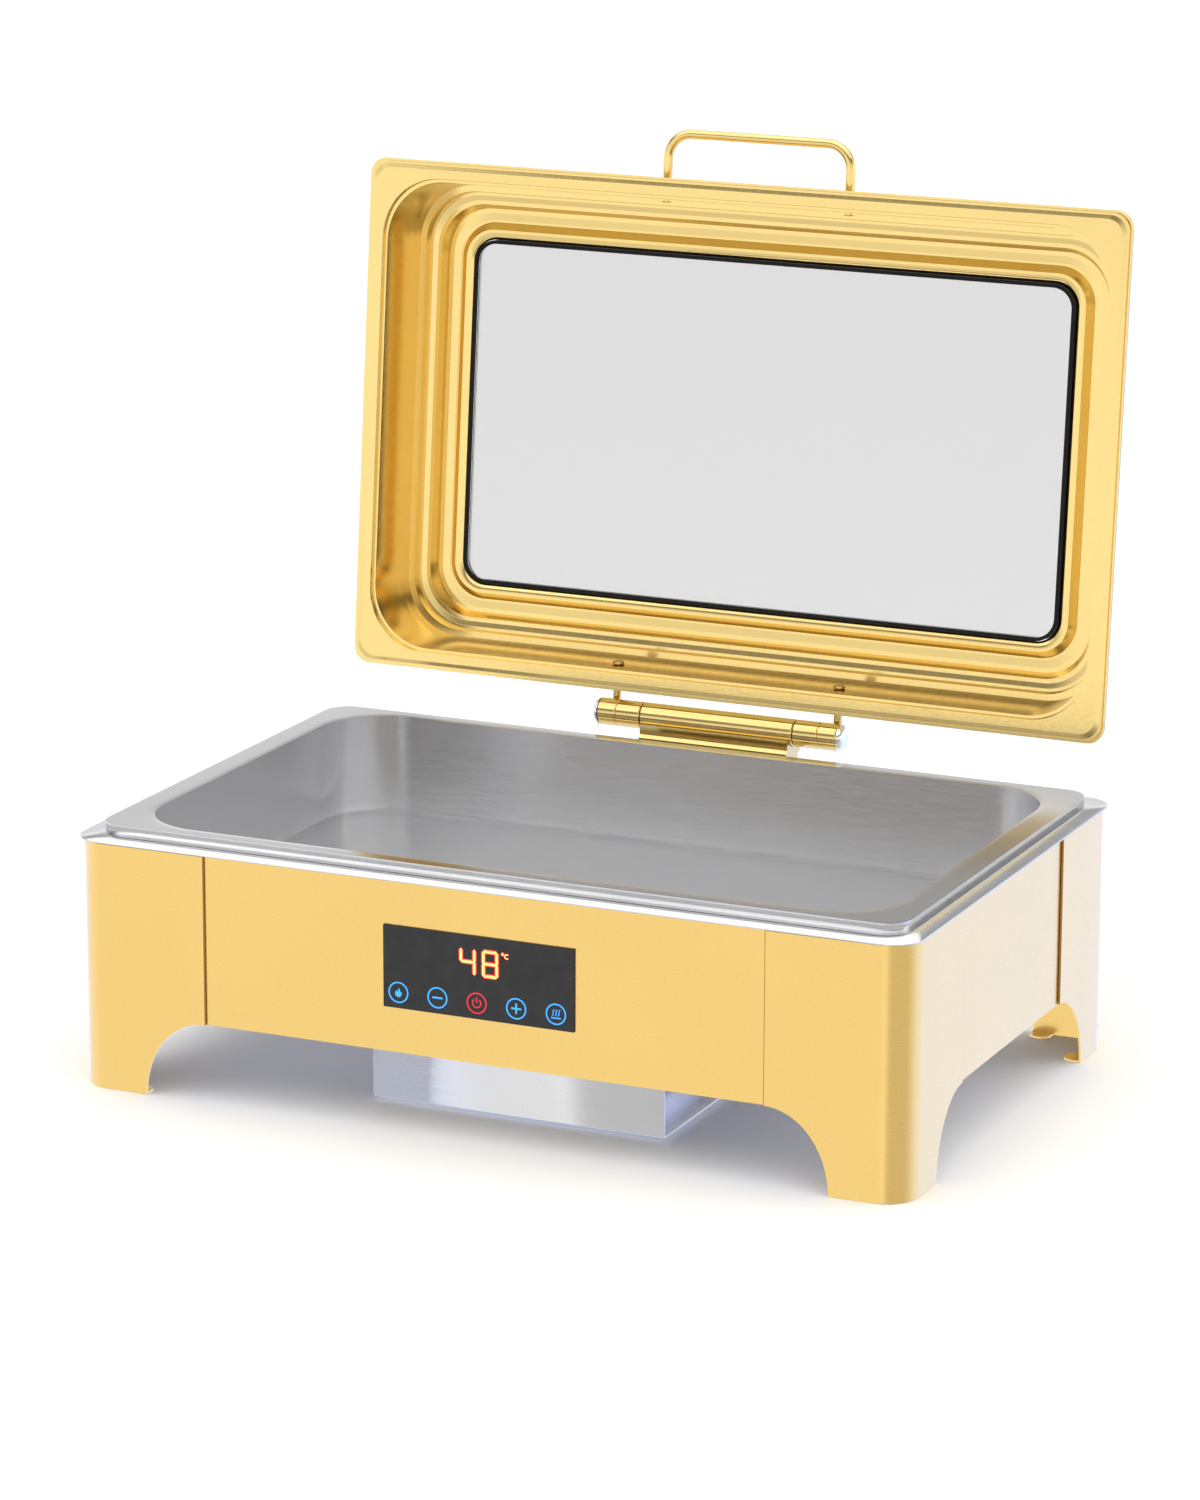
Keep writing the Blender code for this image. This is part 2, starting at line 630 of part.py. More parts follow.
# ---------------------------------------------------------------- hinge
def make_arm(label, side, shell, pivot):
    """Hinge knuckle with a lug and the post that holds the lid's rear wall, lid closed."""
    half = (COLLAR_END - COLLAR_START) / 2
    middle = (COLLAR_END + COLLAR_START) / 2
    groove = side * (COLLAR_GROOVE - middle)
    profile = [
        (BARREL_RADIUS - 0.0005, half),
        (BARREL_RADIUS, half - 0.0005),
        (BARREL_RADIUS, groove + 0.0005),
        (BARREL_RADIUS - 0.0005, groove),
        (BARREL_RADIUS, groove - 0.0005),
        (BARREL_RADIUS, 0.0005 - half),
        (BARREL_RADIUS - 0.0005, -half),
        (AXLE_BORE, -half),
        (AXLE_BORE, half),
    ]
    name = "hinge_arm_" + label
    arm = turned(name, profile, (side * middle, 0, 0), "X", "gold_polished", pivot, closed=True)
    lug_low, lug_high = 0.0060, POST_OFFSET + POST_RADIUS + 0.0008
    lug = box(
        "lug_" + label,
        (0.0096, 0.0096, lug_high - lug_low),
        (side * POST_X, 0, (lug_low + lug_high) / 2),
        parent=pivot,
        bevel=0.0012,
        cutter=True,
    )
    inner_height = HINGE_Z + POST_OFFSET - LID_SEAT
    wall_inner = LID_REAR - lid_wall_inset(inner_height) - HINGE_Y
    post_end = wall_inner + LID_SHEET + 2 * GAP
    post = rod(
        "post_" + label,
        POST_RADIUS,
        -post_end,
        (side * POST_X, post_end / 2, POST_OFFSET),
        "Y",
        parent=pivot,
        cutter=True,
    )
    combine(arm, lug, "UNION")
    combine(arm, post, "UNION")
    bore_centre = (side * POST_X, post_end + 0.0040, POST_OFFSET)
    drill(arm, "post_bore_" + label, 0.0018, bore_centre, 0.0120, "Y", pivot)
    drill(shell, "rear_hole_" + label, 0.0019, (side * POST_X, wall_inner, POST_OFFSET), 0.008, "Y", pivot)
    seat = (side * POST_X, wall_inner - 0.0008, POST_OFFSET)
    make_pan_head_screw("lid_screw_" + label, seat, 1, 0.0085, pivot)


def make_end_cap(label, side, pivot):
    """A domed cap on the end of the hinge."""
    thickness = 0.0042
    profile = [
        (0.0, thickness),
        (BARREL_RADIUS * 0.55, thickness - 0.0004),
        (BARREL_RADIUS * 0.88, thickness - 0.0014),
        (BARREL_RADIUS, thickness - 0.0034),
        (BARREL_RADIUS, 0.0),
        (0.0, 0.0),
    ]
    name = "hinge_end_cap_" + label
    cap = turned(name, profile, (side * (COLLAR_END + GAP), 0, 0), "X", "gold_polished", pivot, steps=24)
    cap.rotation_euler = (0, side * math.pi / 2, 0)


def make_hinge_base(parent):
    """Bracket on the rear panel, with the saddle that the fixed barrel lies in."""
    panel_face = HALF_D - PANEL_SETBACK + GAP
    behind_rim = HALF_D + RIM_OVERHANG + GAP
    half = 0.0520
    outline = [
        (panel_face, 0.1050),
        (panel_face + 0.0030, 0.1050),
        (panel_face + 0.0030, 0.1380),
        (HINGE_Y + 0.0070, 0.1500),
        (HINGE_Y + 0.0070, 0.1600),
        (HINGE_Y + 0.0106, 0.1600),
        (HINGE_Y + 0.0106, HINGE_Z - 0.0030),
        (HINGE_Y - 0.0112, HINGE_Z - 0.0030),
        (HINGE_Y - 0.0112, 0.1650),
        (behind_rim, 0.1630),
        (behind_rim, SHELL_TOP - GAP),
        (panel_face, SHELL_TOP - GAP),
    ]
    base = extruded_outline("hinge_base", outline, half, "gold_polished", parent)
    saddle = rod(
        "saddle_cut",
        BARREL_RADIUS + GAP,
        3 * half,
        (0, HINGE_Y, HINGE_Z),
        "X",
        parent=parent,
        cutter=True,
        sides=32,
    )
    combine(base, saddle, "DIFFERENCE")
    return base


def make_hinge(base_parent, pivot, shell, rear_panel):
    axis_point = (0, HINGE_Y, HINGE_Z)
    tube = [
        (BARREL_RADIUS, BARREL_HALF),
        (BARREL_RADIUS, -BARREL_HALF),
        (BARREL_BORE, -BARREL_HALF),
        (BARREL_BORE, BARREL_HALF),
    ]
    turned("hinge_barrel", tube, axis_point, "X", "gold_polished", base_parent, closed=True, steps=32)
    damper_start, damper_end = 0.0050, 0.0500
    damper = [
        (BARREL_BORE - GAP, damper_end),
        (BARREL_BORE - GAP, damper_start),
        (AXLE_BORE, damper_start),
        (AXLE_BORE, damper_end),
    ]
    turned("hinge_damper", damper, axis_point, "X", "black_plastic", base_parent, closed=True)
    make_hinge_spring(base_parent)
    rod("hinge_axle", AXLE_RADIUS, 2 * COLLAR_END - 0.001, (0, 0, 0), "X", "zinc_steel", pivot, sides=24)
    for label, side in (("left", -1), ("right", 1)):
        make_arm(label, side, shell, pivot)
        make_end_cap(label, side, pivot)
    base = make_hinge_base(base_parent)
    panel_face = HALF_D - PANEL_SETBACK
    plate_face = panel_face + GAP + 0.0030
    for label, side in (("left", -1), ("right", 1)):
        x, z = side * 0.036, 0.1210
        drill(base, "base_hole_" + label, 0.0022, (x, plate_face, z), 0.012, "Y", base_parent)
        drill(rear_panel, "panel_hole_" + label, 0.0022, (-x, -panel_face, z), 0.012, "Y", rear_panel)
        screw = make_pan_head_screw(
            "hinge_base_screw_" + label, (x, plate_face + GAP, z), -1, 0.0070, base_parent, 0.0019
        )
        screw.rotation_euler = (-math.pi / 2, 0, 0)


def make_hinge_spring(parent):
    """Torsion spring coiled round the axle, inside the barrel."""
    start, end, turns = -0.0500, 0.0020, 7
    wire_radius = 0.0009
    coil_radius = (AXLE_BORE + BARREL_BORE) / 2
    steps_per_turn = 8
    points = []
    for step in range(turns * steps_per_turn + 1):
        share = step / (turns * steps_per_turn)
        angle = 2 * math.pi * turns * share
        y = HINGE_Y + coil_radius * math.cos(angle)
        z = HINGE_Z + coil_radius * math.sin(angle)
        points.append(Vector((start + share * (end - start), y, z)))
    wire("hinge_spring", points, wire_radius, "zinc_steel", parent)


# ---------------------------------------------------------------- control panel
def make_control_panel(front_panel, parent):
    """Touch glass on the front panel, with its display, board and rear housing."""
    panel_face = -(HALF_D - PANEL_SETBACK)
    panel_back = panel_face + SHEET
    glass_thickness = 0.0010
    window_x, window_z = GLASS_PANEL_WIDTH - 0.012, GLASS_PANEL_HEIGHT - 0.010
    window = box(
        "control_window",
        (window_x, 0.010, window_z),
        (0, panel_face, CONTROL_Z),
        parent=front_panel,
        cutter=True,
    )
    combine(front_panel, window, "DIFFERENCE")
    glass_back = panel_face - GAP
    box(
        "control_glass",
        (GLASS_PANEL_WIDTH, glass_thickness, GLASS_PANEL_HEIGHT),
        (0, glass_back - glass_thickness / 2, CONTROL_Z),
        "black_glass",
        parent,
        bevel=0.0003,
    )
    module_depth = 0.0060
    module_y = glass_back + GAP
    box(
        "display_module",
        (0.030, module_depth, 0.020),
        (0, module_y + module_depth / 2, CONTROL_Z + 0.009),
        "led_display",
        parent,
    )
    board_y = module_y + module_depth + GAP
    board_thickness = 0.0016
    box(
        "control_board",
        (0.112, board_thickness, 0.040),
        (0, board_y + board_thickness / 2, CONTROL_Z),
        "circuit_board",
        parent,
    )
    wall = 0.0020
    depth = 0.0140
    start = panel_back + GAP
    size = (GLASS_PANEL_WIDTH + 0.004, depth, GLASS_PANEL_HEIGHT + 0.003)
    housing = box(
        "control_housing", size, (0, start + depth / 2, CONTROL_Z), "black_plastic", parent, bevel=0.0015
    )
    hollow = box(
        "housing_hollow",
        (size[0] - 2 * wall, depth, size[2] - 2 * wall),
        (0, start + depth / 2 - wall, CONTROL_Z),
        parent=parent,
        cutter=True,
    )
    combine(housing, hollow, "DIFFERENCE")
    return Vector((0, start + depth / 2, CONTROL_Z - size[2] / 2))


# ---------------------------------------------------------------- heater and under cover
def make_heater(parent):
    """Heating plate, element, insulation and clamp, held up under the water pan by two studs."""
    plate_top = WATER_UNDERSIDE - GAP
    plate_x, plate_y, plate_thickness = 0.160, 0.190, 0.0045
    plate = box(
        "heating_plate",
        (plate_x, plate_y, plate_thickness),
        (COVER_X, 0, plate_top - plate_thickness / 2),
        "aluminium",
        parent,
        bevel=0.0008,
    )
    element_radius = 0.0035
    element_z = plate_top - plate_thickness - GAP - element_radius
    make_element(element_z, element_radius, parent)
    pad_thickness = 0.0060
    pad_top = element_z - element_radius - GAP
    pad = box(
        "heater_insulation",
        (plate_x - 0.010, plate_y - 0.010, pad_thickness),
        (COVER_X, 0, pad_top - pad_thickness / 2),
        "ceramic_fibre",
        parent,
        bevel=0.0010,
    )
    clamp_thickness = 0.0020
    clamp_top = pad_top - pad_thickness - GAP
    clamp = box(
        "heater_clamp",
        (0.030, plate_y, clamp_thickness),
        (COVER_X, 0, clamp_top - clamp_thickness / 2),
        "zinc_steel",
        parent,
        bevel=0.0005,
    )
    stud_radius, stud_hole = 0.0024, 0.0028
    nut_height = 0.0038
    nut_top = clamp_top - clamp_thickness - GAP
    stud_bottom = nut_top - nut_height - 0.0030
    for label, side in (("front", -1), ("rear", 1)):
        y = side * 0.080
        for piece in (plate, pad, clamp):
            hole_name = piece.name + "_hole_" + label
            drill(piece, hole_name, stud_hole, (COVER_X, y, clamp_top), 0.080, "Z", parent)
        length = plate_top - stud_bottom
        centre = (COVER_X, y, plate_top - length / 2)
        rod("weld_stud_" + label, stud_radius, length, centre, "Z", "zinc_steel", parent, sides=16)
        nut = rod(
            "clamp_nut_" + label,
            0.0046,
            nut_height,
            (COVER_X, y, nut_top - nut_height / 2),
            "Z",
            "zinc_steel",
            parent,
            sides=6,
        )
        drill(nut, "nut_hole_" + label, stud_hole, (COVER_X, y, nut_top), 0.012, "Z", parent)
    make_sensors(plate_y / 2, parent)
    return Vector((COVER_X + 0.045, -0.090 - 2 * GAP, element_z))


def make_element(z, radius, parent):
    """A sheathed heating element bent into a long U under the plate."""
    reach, spread, bend = 0.068, 0.045, 0.030
    corners = []
    for side in (-1, 1):
        centre = Vector((COVER_X + side * (spread - bend), reach - bend, z))
        for step in range(7):
            turn = math.pi / 2 * (step / 6 if side < 0 else 1 - step / 6)
            corners.append(centre + Vector((side * math.cos(turn), math.sin(turn), 0)) * bend)
    start = Vector((COVER_X - spread, -0.090, z))
    end = Vector((COVER_X + spread, -0.090, z))
    wire("heating_element", [start, *corners, end], radius, "zinc_steel", parent)


def make_sensors(plate_half, parent):
    """Thermal cut-out at the rear and temperature sensor at the front, on the pan's underside."""
    top = WATER_UNDERSIDE - GAP
    y = plate_half + 0.015
    cutout = [
        (0.0, top),
        (0.0110, top),
        (0.0110, top - 0.0015),
        (0.0085, top - 0.0015),
        (0.0085, top - 0.0110),
        (0.0, top - 0.0110),
    ]
    turned("thermal_cutout", cutout, (COVER_X, y, 0), "Z", "black_plastic", parent)
    sensor = [
        (0.0, top),
        (0.0050, top),
        (0.0050, top - 0.0040),
        (0.0030, top - 0.0080),
        (0.0, top - 0.0080),
    ]
    turned("temperature_sensor", sensor, (COVER_X, -y, 0), "Z", "zinc_steel", parent, steps=16)


def make_under_cover(parent):
    """A channel of steel sheet, open at both ends, screwed up to the water pan's floor."""
    flange_top = WATER_UNDERSIDE - GAP
    edge = COVER_HALF_Y + COVER_FLANGE
    path = [
        (-edge, flange_top - COVER_SHEET),
        (-COVER_HALF_Y, flange_top - COVER_SHEET),
        (-COVER_HALF_Y, COVER_BOTTOM),
        (COVER_HALF_Y, COVER_BOTTOM),
        (COVER_HALF_Y, flange_top - COVER_SHEET),
        (edge, flange_top - COVER_SHEET),
    ]
    start, end = COVER_X - COVER_HALF_X, COVER_X + COVER_HALF_X
    cover = folded_strip("under_cover", path[::-1], start, end, "steel", parent, COVER_SHEET)
    screw_y = COVER_HALF_Y + COVER_FLANGE / 2
    places = [(side_x, side_y) for side_y in (-1, 1) for side_x in (-1, 1)]
    for number, (side_x, side_y) in enumerate(places, 1):
        x = COVER_X + side_x * (COVER_HALF_X - 0.015)
        y = side_y * screw_y
        underside = flange_top - COVER_SHEET
        hole = "cover_hole_" + str(number)
        drill(cover, hole, 0.0020, (x, y, underside), 0.006, "Z", parent)
        profile = [
            (0.0, COVER_SHEET + GAP),
            (0.0015, COVER_SHEET + GAP),
            (0.0015, 0.0),
            (0.0034, 0.0),
            (0.0026, -0.0018),
            (0.0, -0.0018),
        ]
        name = "cover_screw_" + str(number)
        turned(name, profile, (x, y, underside - GAP), "Z", "zinc_steel", parent, steps=12)


# ---------------------------------------------------------------- power inlet and leads
def make_power_inlet(rear_panel, parent):
    """A recessed mains inlet with three pins, screwed to the rear panel."""
    panel_face = HALF_D - PANEL_SETBACK
    flange_size = (0.050, 0.0022, 0.0240)
    body_size = (0.0270, 0.0240, 0.0195)
    flange_y = panel_face + GAP + flange_size[1] / 2
    face_y = panel_face + GAP + flange_size[1]
    inlet = box(
        "power_inlet",
        flange_size,
        (INLET_X, flange_y, INLET_Z),
        "black_plastic",
        parent,
        bevel=0.0006,
    )
    body_centre = face_y - 0.0005 - body_size[1] / 2
    body = box("inlet_body", body_size, (INLET_X, body_centre, INLET_Z), parent=parent, cutter=True)
    socket = box(
        "inlet_socket",
        (0.0235, 0.0330, 0.0160),
        (INLET_X, face_y, INLET_Z),
        parent=parent,
        cutter=True,
    )
    combine(inlet, body, "UNION")
    combine(inlet, socket, "DIFFERENCE")
    pin_length = 0.0120
    for number, (dx, dz) in enumerate(((-0.0070, -0.0020), (0.0, 0.0030), (0.0070, -0.0020)), 1):
        pin = box(
            "inlet_pin_" + str(number),
            (0.0020, pin_length, 0.0040),
            (INLET_X + dx, face_y - 0.0165 + pin_length / 2 - 0.0010, INLET_Z + dz),
            parent=parent,
            cutter=True,
        )
        combine(inlet, pin, "UNION")
    opening = box(
        "inlet_opening",
        (body_size[0] + 2 * GAP, 0.012, body_size[2] + 2 * GAP),
        (-INLET_X, -panel_face, INLET_Z),
        parent=rear_panel,
        cutter=True,
    )
    combine(rear_panel, opening, "DIFFERENCE")
    for label, side in (("left", -1), ("right", 1)):
        x = INLET_X + side * 0.0200
        drill(inlet, "inlet_hole_" + label, 0.0018, (x, flange_y, INLET_Z), 0.008, "Y", parent)
        drill(rear_panel, "inlet_panel_hole_" + label, 0.0018, (-x, -panel_face, INLET_Z), 0.008, "Y", rear_panel)
        make_inlet_screw("inlet_screw_" + label, (x, face_y + GAP, INLET_Z), parent)
    return body_centre - body_size[1] / 2


def make_inlet_screw(name, seat, parent):
    profile = [
        (0.0, 0.0012),
        (0.0018, 0.0012),
        (0.0028, 0.0),
        (0.0014, 0.0),
        (0.0014, -0.0065),
        (0.0, -0.0065),
    ]
    screw = turned(name, profile, seat, "Y", "zinc_steel", parent, steps=12)
    screw.rotation_euler = (-math.pi / 2, 0, 0)


def make_leads(housing_underside, inlet_back, element_end, parent):
    """Three leads from the housing's underside, run under the pan clear of the cover."""
    exit_y = housing_underside.y
    exit_z = housing_underside.z - 2 * GAP
    turn_z = exit_z - 0.0080
    low = 0.0620
    routes = {
        "mains_lead": (
            0.0026,
            [
                (INLET_X, inlet_back - 2 * GAP, low),
                (INLET_X, inlet_back - 0.0080, low),
                (INLET_X, 0.1200, low),
                (INLET_X - 0.006, 0.0600, low),
                (INLET_X, -0.0100, low),
                (INLET_X - 0.004, -0.0800, low),
                (INLET_X - 0.022, -0.1340, low),
                (0.0900, exit_y + 0.0060, low),
                (0.0600, exit_y + 0.0010, low + 0.0010),
                (0.0480, exit_y, turn_z),
                (0.0480, exit_y, exit_z),
            ],
        ),
        "heater_lead": (
            0.0020,
            [
                (0.0200, exit_y, exit_z),
                (0.0200, exit_y, turn_z),
                (0.0300, exit_y + 0.0100, low - 0.0010),
                (0.0700, -0.1420, low),
                (0.1080, -0.1330, low - 0.0030),
                (0.1120, -0.1120, low - 0.0040),
                (0.0900, -0.1010, low - 0.0020),
                (element_end.x + 0.0080, element_end.y - 0.0070, element_end.z),
                (element_end.x, element_end.y - 0.0055, element_end.z),
                (element_end.x, element_end.y, element_end.z),
            ],
        ),
        "sensor_lead": (
            0.0013,
            [
                (-0.0300, exit_y, exit_z),
                (-0.0300, exit_y, turn_z),
                (-0.0420, exit_y + 0.0110, low),
                (-0.0800, -0.1430, low),
                (-0.1040, -0.1300, low - 0.0030),
                (-0.0900, -0.1160, low - 0.0050),
                (-0.0400, -0.1160, low - 0.0060),
                (COVER_X - 0.0100, -0.1120, low - 0.0060),
                (COVER_X, -0.1100, low - 0.0020),
                (COVER_X, -0.1100, low + 0.0022),
            ],
        ),
    }
    for name, (radius, route) in routes.items():
        points = smooth_route([Vector(point) for point in route], steps=3)
        wire(name, points, radius, "lead_jacket", parent)


# ---------------------------------------------------------------- assembly
def build():
    body = add_empty("body_frame", (0, BODY_Y, 0))
    pivot = add_empty("lid_pivot", (0, HINGE_Y, HINGE_Z), body)
    pivot.rotation_euler = (-math.radians(LID_OPEN_ANGLE), 0, 0)
    front_panel, rear_panel = make_shell(body)
    make_water_pan(body)
    make_food_pan(body)
    shell = make_lid_shell(pivot)
    make_lid_glazing(pivot)
    handle = make_handle(pivot)
    fasten_lid(shell, handle, pivot)
    make_hinge(body, pivot, shell, rear_panel)
    housing_underside = make_control_panel(front_panel, body)
    element_end = make_heater(body)
    make_under_cover(body)
    inlet_back = make_power_inlet(rear_panel, body)
    make_leads(housing_underside, inlet_back, element_end, body)
    bpy.context.view_layer.update()


build()
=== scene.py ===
"""Looks of the electric buffet chafer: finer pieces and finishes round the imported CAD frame."""

import json
import math

import bmesh
import bpy
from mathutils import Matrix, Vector


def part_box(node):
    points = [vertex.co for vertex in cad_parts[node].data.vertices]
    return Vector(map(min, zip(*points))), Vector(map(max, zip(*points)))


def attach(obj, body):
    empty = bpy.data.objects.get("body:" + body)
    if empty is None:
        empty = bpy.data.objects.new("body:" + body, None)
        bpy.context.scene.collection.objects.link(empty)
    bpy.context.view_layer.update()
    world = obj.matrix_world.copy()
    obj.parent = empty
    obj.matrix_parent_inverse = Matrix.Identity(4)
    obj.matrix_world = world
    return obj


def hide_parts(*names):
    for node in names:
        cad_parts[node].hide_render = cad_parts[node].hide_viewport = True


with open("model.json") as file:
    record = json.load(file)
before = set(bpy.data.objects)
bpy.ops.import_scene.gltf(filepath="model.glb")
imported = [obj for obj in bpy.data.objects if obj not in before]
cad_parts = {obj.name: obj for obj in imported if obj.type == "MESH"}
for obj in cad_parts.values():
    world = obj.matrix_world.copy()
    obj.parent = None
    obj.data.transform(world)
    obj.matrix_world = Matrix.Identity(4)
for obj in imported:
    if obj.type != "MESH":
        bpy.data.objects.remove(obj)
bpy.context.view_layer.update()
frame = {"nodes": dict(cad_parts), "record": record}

GAP = 0.0003
SMOOTH_ANGLE = math.radians(32)
CORNER_STEPS = 14           # segments in a quarter turn of a pressed corner
BEND_STEPS = 5              # segments in a fold or a rolled edge


# ---------------------------------------------------------------- sizes from the frame
RIM_LOW, RIM_HIGH = (Vector(corner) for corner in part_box("water_pan"))
FOOD_LOW, FOOD_HIGH = (Vector(corner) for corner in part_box("food_pan"))
COVER_LOW, COVER_HIGH = (Vector(corner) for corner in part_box("under_cover"))
LEG_LOW, LEG_HIGH = (Vector(corner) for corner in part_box("leg_front_right"))
PANEL_LOW = Vector(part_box("front_panel")[0])
KEYS_LOW = Vector(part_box("control_glass")[0])
LID_LOW, LID_HIGH = (Vector(corner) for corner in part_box("lid_shell"))
BARREL_LOW, BARREL_HIGH = (Vector(corner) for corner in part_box("hinge_barrel"))

BODY_Y = (RIM_LOW.y + RIM_HIGH.y) / 2
BODY_HALF_X = LEG_HIGH.x
BODY_HALF_Y = BODY_Y - LEG_LOW.y
SHELL_TOP = LEG_HIGH.z
SKIRT_HEIGHT = PANEL_LOW.z
RIM_TOP = RIM_HIGH.z
HINGE = next(joint for joint in frame["record"]["behaviour"]["joints"] if joint["name"] == "lid_hinge")
HINGE_POINT = Vector(HINGE["pos_m"])
OPEN_ANGLE = math.radians(HINGE["range_deg"][1])

# sheet pieces
SHEET = 0.0012
BODY_CORNER = 0.021
FOOT_WIDTH = 0.049
SEAM_INSET = 0.090
TAB_WIDTH = 0.014
TAB_LENGTH = 0.013
ARCH_STEPS = 22
RIM_CORNER = 0.019

# lid, measured closed from the hinge axis and from its rear edge
LID_REAR = -0.0157
LID_SEAT = -0.0082
LID_WIDTH = LID_HIGH.x - LID_LOW.x
LID_DEPTH = 0.3352
LID_SHEET = 0.0010
LID_CORNER = 0.011
MOUTH_CORNER = 0.040        # corner of the opening inside the flange
WINDOW_CORNER = 0.0155
ROLLED_EDGE = 0.0055
WALL_INSET = 0.0125
WALL_LEAN = 0.0065
WALL_DEPTH = 0.0460
TREAD = 0.0075
CROWN_DEPTH = 0.0609
FRAME_DEPTH = 0.0560
FRAME_WIDTH = 0.0060
FRAME_INSET = 0.0526
GLASS_INSET = 0.0549
GLASS_DEPTH = 0.0565
GLASS_THICKNESS = 0.004

# handle and hinge
HANDLE_HALF = 0.0635
HANDLE_ROD = 0.0031
HANDLE_BEND = 0.0160
HANDLE_REACH = 0.0273
HANDLE_DEPTH = 0.0300
COLLAR_START = BARREL_HIGH.x + 0.0005
COLLAR_END = 0.0840
COLLAR_GROOVE = 0.0710
BARREL_RADIUS = (BARREL_HIGH.z - BARREL_LOW.z) / 2
POST_X = 0.0780
POST_OFFSET = 0.0099
POST_RADIUS = 0.0029


# ---------------------------------------------------------------- node materials
class Finish:
    """A Principled material with a few shortcuts for procedural detail."""

    def __init__(self, name, colour, roughness, metallic=0.0):
        self.material = bpy.data.materials.new(name)
        self.material.use_nodes = True
        self.nodes = self.material.node_tree.nodes
        self.links = self.material.node_tree.links
        self.shader = self.nodes["Principled BSDF"]
        self.shader.inputs["Base Color"].default_value = (*colour, 1.0)
        self.shader.inputs["Roughness"].default_value = roughness
        self.shader.inputs["Metallic"].default_value = metallic

    def set(self, **values):
        for key, value in values.items():
            self.shader.inputs[key.replace("_", " ")].default_value = value
        return self

    def noise(self, scale, stretch=(1, 1, 1), detail=3.0, roughness=0.5):
        """A noise in object space, stretched along the axes with a small factor."""
        coordinates = self.nodes.new("ShaderNodeTexCoord")
        mapping = self.nodes.new("ShaderNodeMapping")
        mapping.inputs["Scale"].default_value = stretch
        texture = self.nodes.new("ShaderNodeTexNoise")
        texture.inputs["Scale"].default_value = scale
        texture.inputs["Detail"].default_value = detail
        texture.inputs["Roughness"].default_value = roughness
        self.links.new(coordinates.outputs["Object"], mapping.inputs["Vector"])
        self.links.new(mapping.outputs["Vector"], texture.inputs["Vector"])
        return texture.outputs["Fac"]

    def spread(self, source, low, high):
        """Maps the middle of a noise to the range low to high."""
        node = self.nodes.new("ShaderNodeMapRange")
        node.inputs["From Min"].default_value = 0.3
        node.inputs["From Max"].default_value = 0.7
        node.inputs["To Min"].default_value = low
        node.inputs["To Max"].default_value = high
        self.links.new(source, node.inputs["Value"])
        return node.outputs["Result"]

    def vary_roughness(self, source, low, high):
        self.links.new(self.spread(source, low, high), self.shader.inputs["Roughness"])
        return self

    def vary_colour(self, source, dark, light):
        ramp = self.nodes.new("ShaderNodeValToRGB")
        ramp.color_ramp.elements[0].position = 0.35
        ramp.color_ramp.elements[1].position = 0.65
        ramp.color_ramp.elements[0].color = (*dark, 1.0)
        ramp.color_ramp.elements[1].color = (*light, 1.0)
        self.links.new(source, ramp.inputs["Fac"])
        self.links.new(ramp.outputs["Color"], self.shader.inputs["Base Color"])
        return self

    def bump(self, source, distance, strength=0.5):
        node = self.nodes.new("ShaderNodeBump")
        node.inputs["Strength"].default_value = strength
        node.inputs["Distance"].default_value = distance
        self.links.new(source, node.inputs["Height"])
        self.links.new(node.outputs["Normal"], self.shader.inputs["Normal"])
        return self


def shaded(colour, factor):
    return tuple(channel * factor for channel in colour)


def brushed_metal(name, colour, roughness, grain, spread=0.06, coat=0.0):
    """Metal with fine lines along the long side of the grain factors and faint handling marks."""
    finish = Finish(name, colour, roughness, 1.0)
    lines = finish.noise(1.0, grain, detail=4.0, roughness=0.6)
    marks = finish.noise(9.0, (1, 1, 1), detail=5.0, roughness=0.65)
    finish.vary_colour(marks, shaded(colour, 0.965), colour)
    finish.vary_roughness(lines, roughness - spread, roughness + spread)
    finish.bump(lines, 0.00002, 0.35)
    finish.set(Coat_Weight=coat, Coat_Roughness=0.22, Coat_IOR=2.2)
    return finish.material


GOLD = (0.935, 0.59, 0.085)
GOLD_LID = (0.77, 0.575, 0.225)
STEEL = (0.76, 0.76, 0.77)


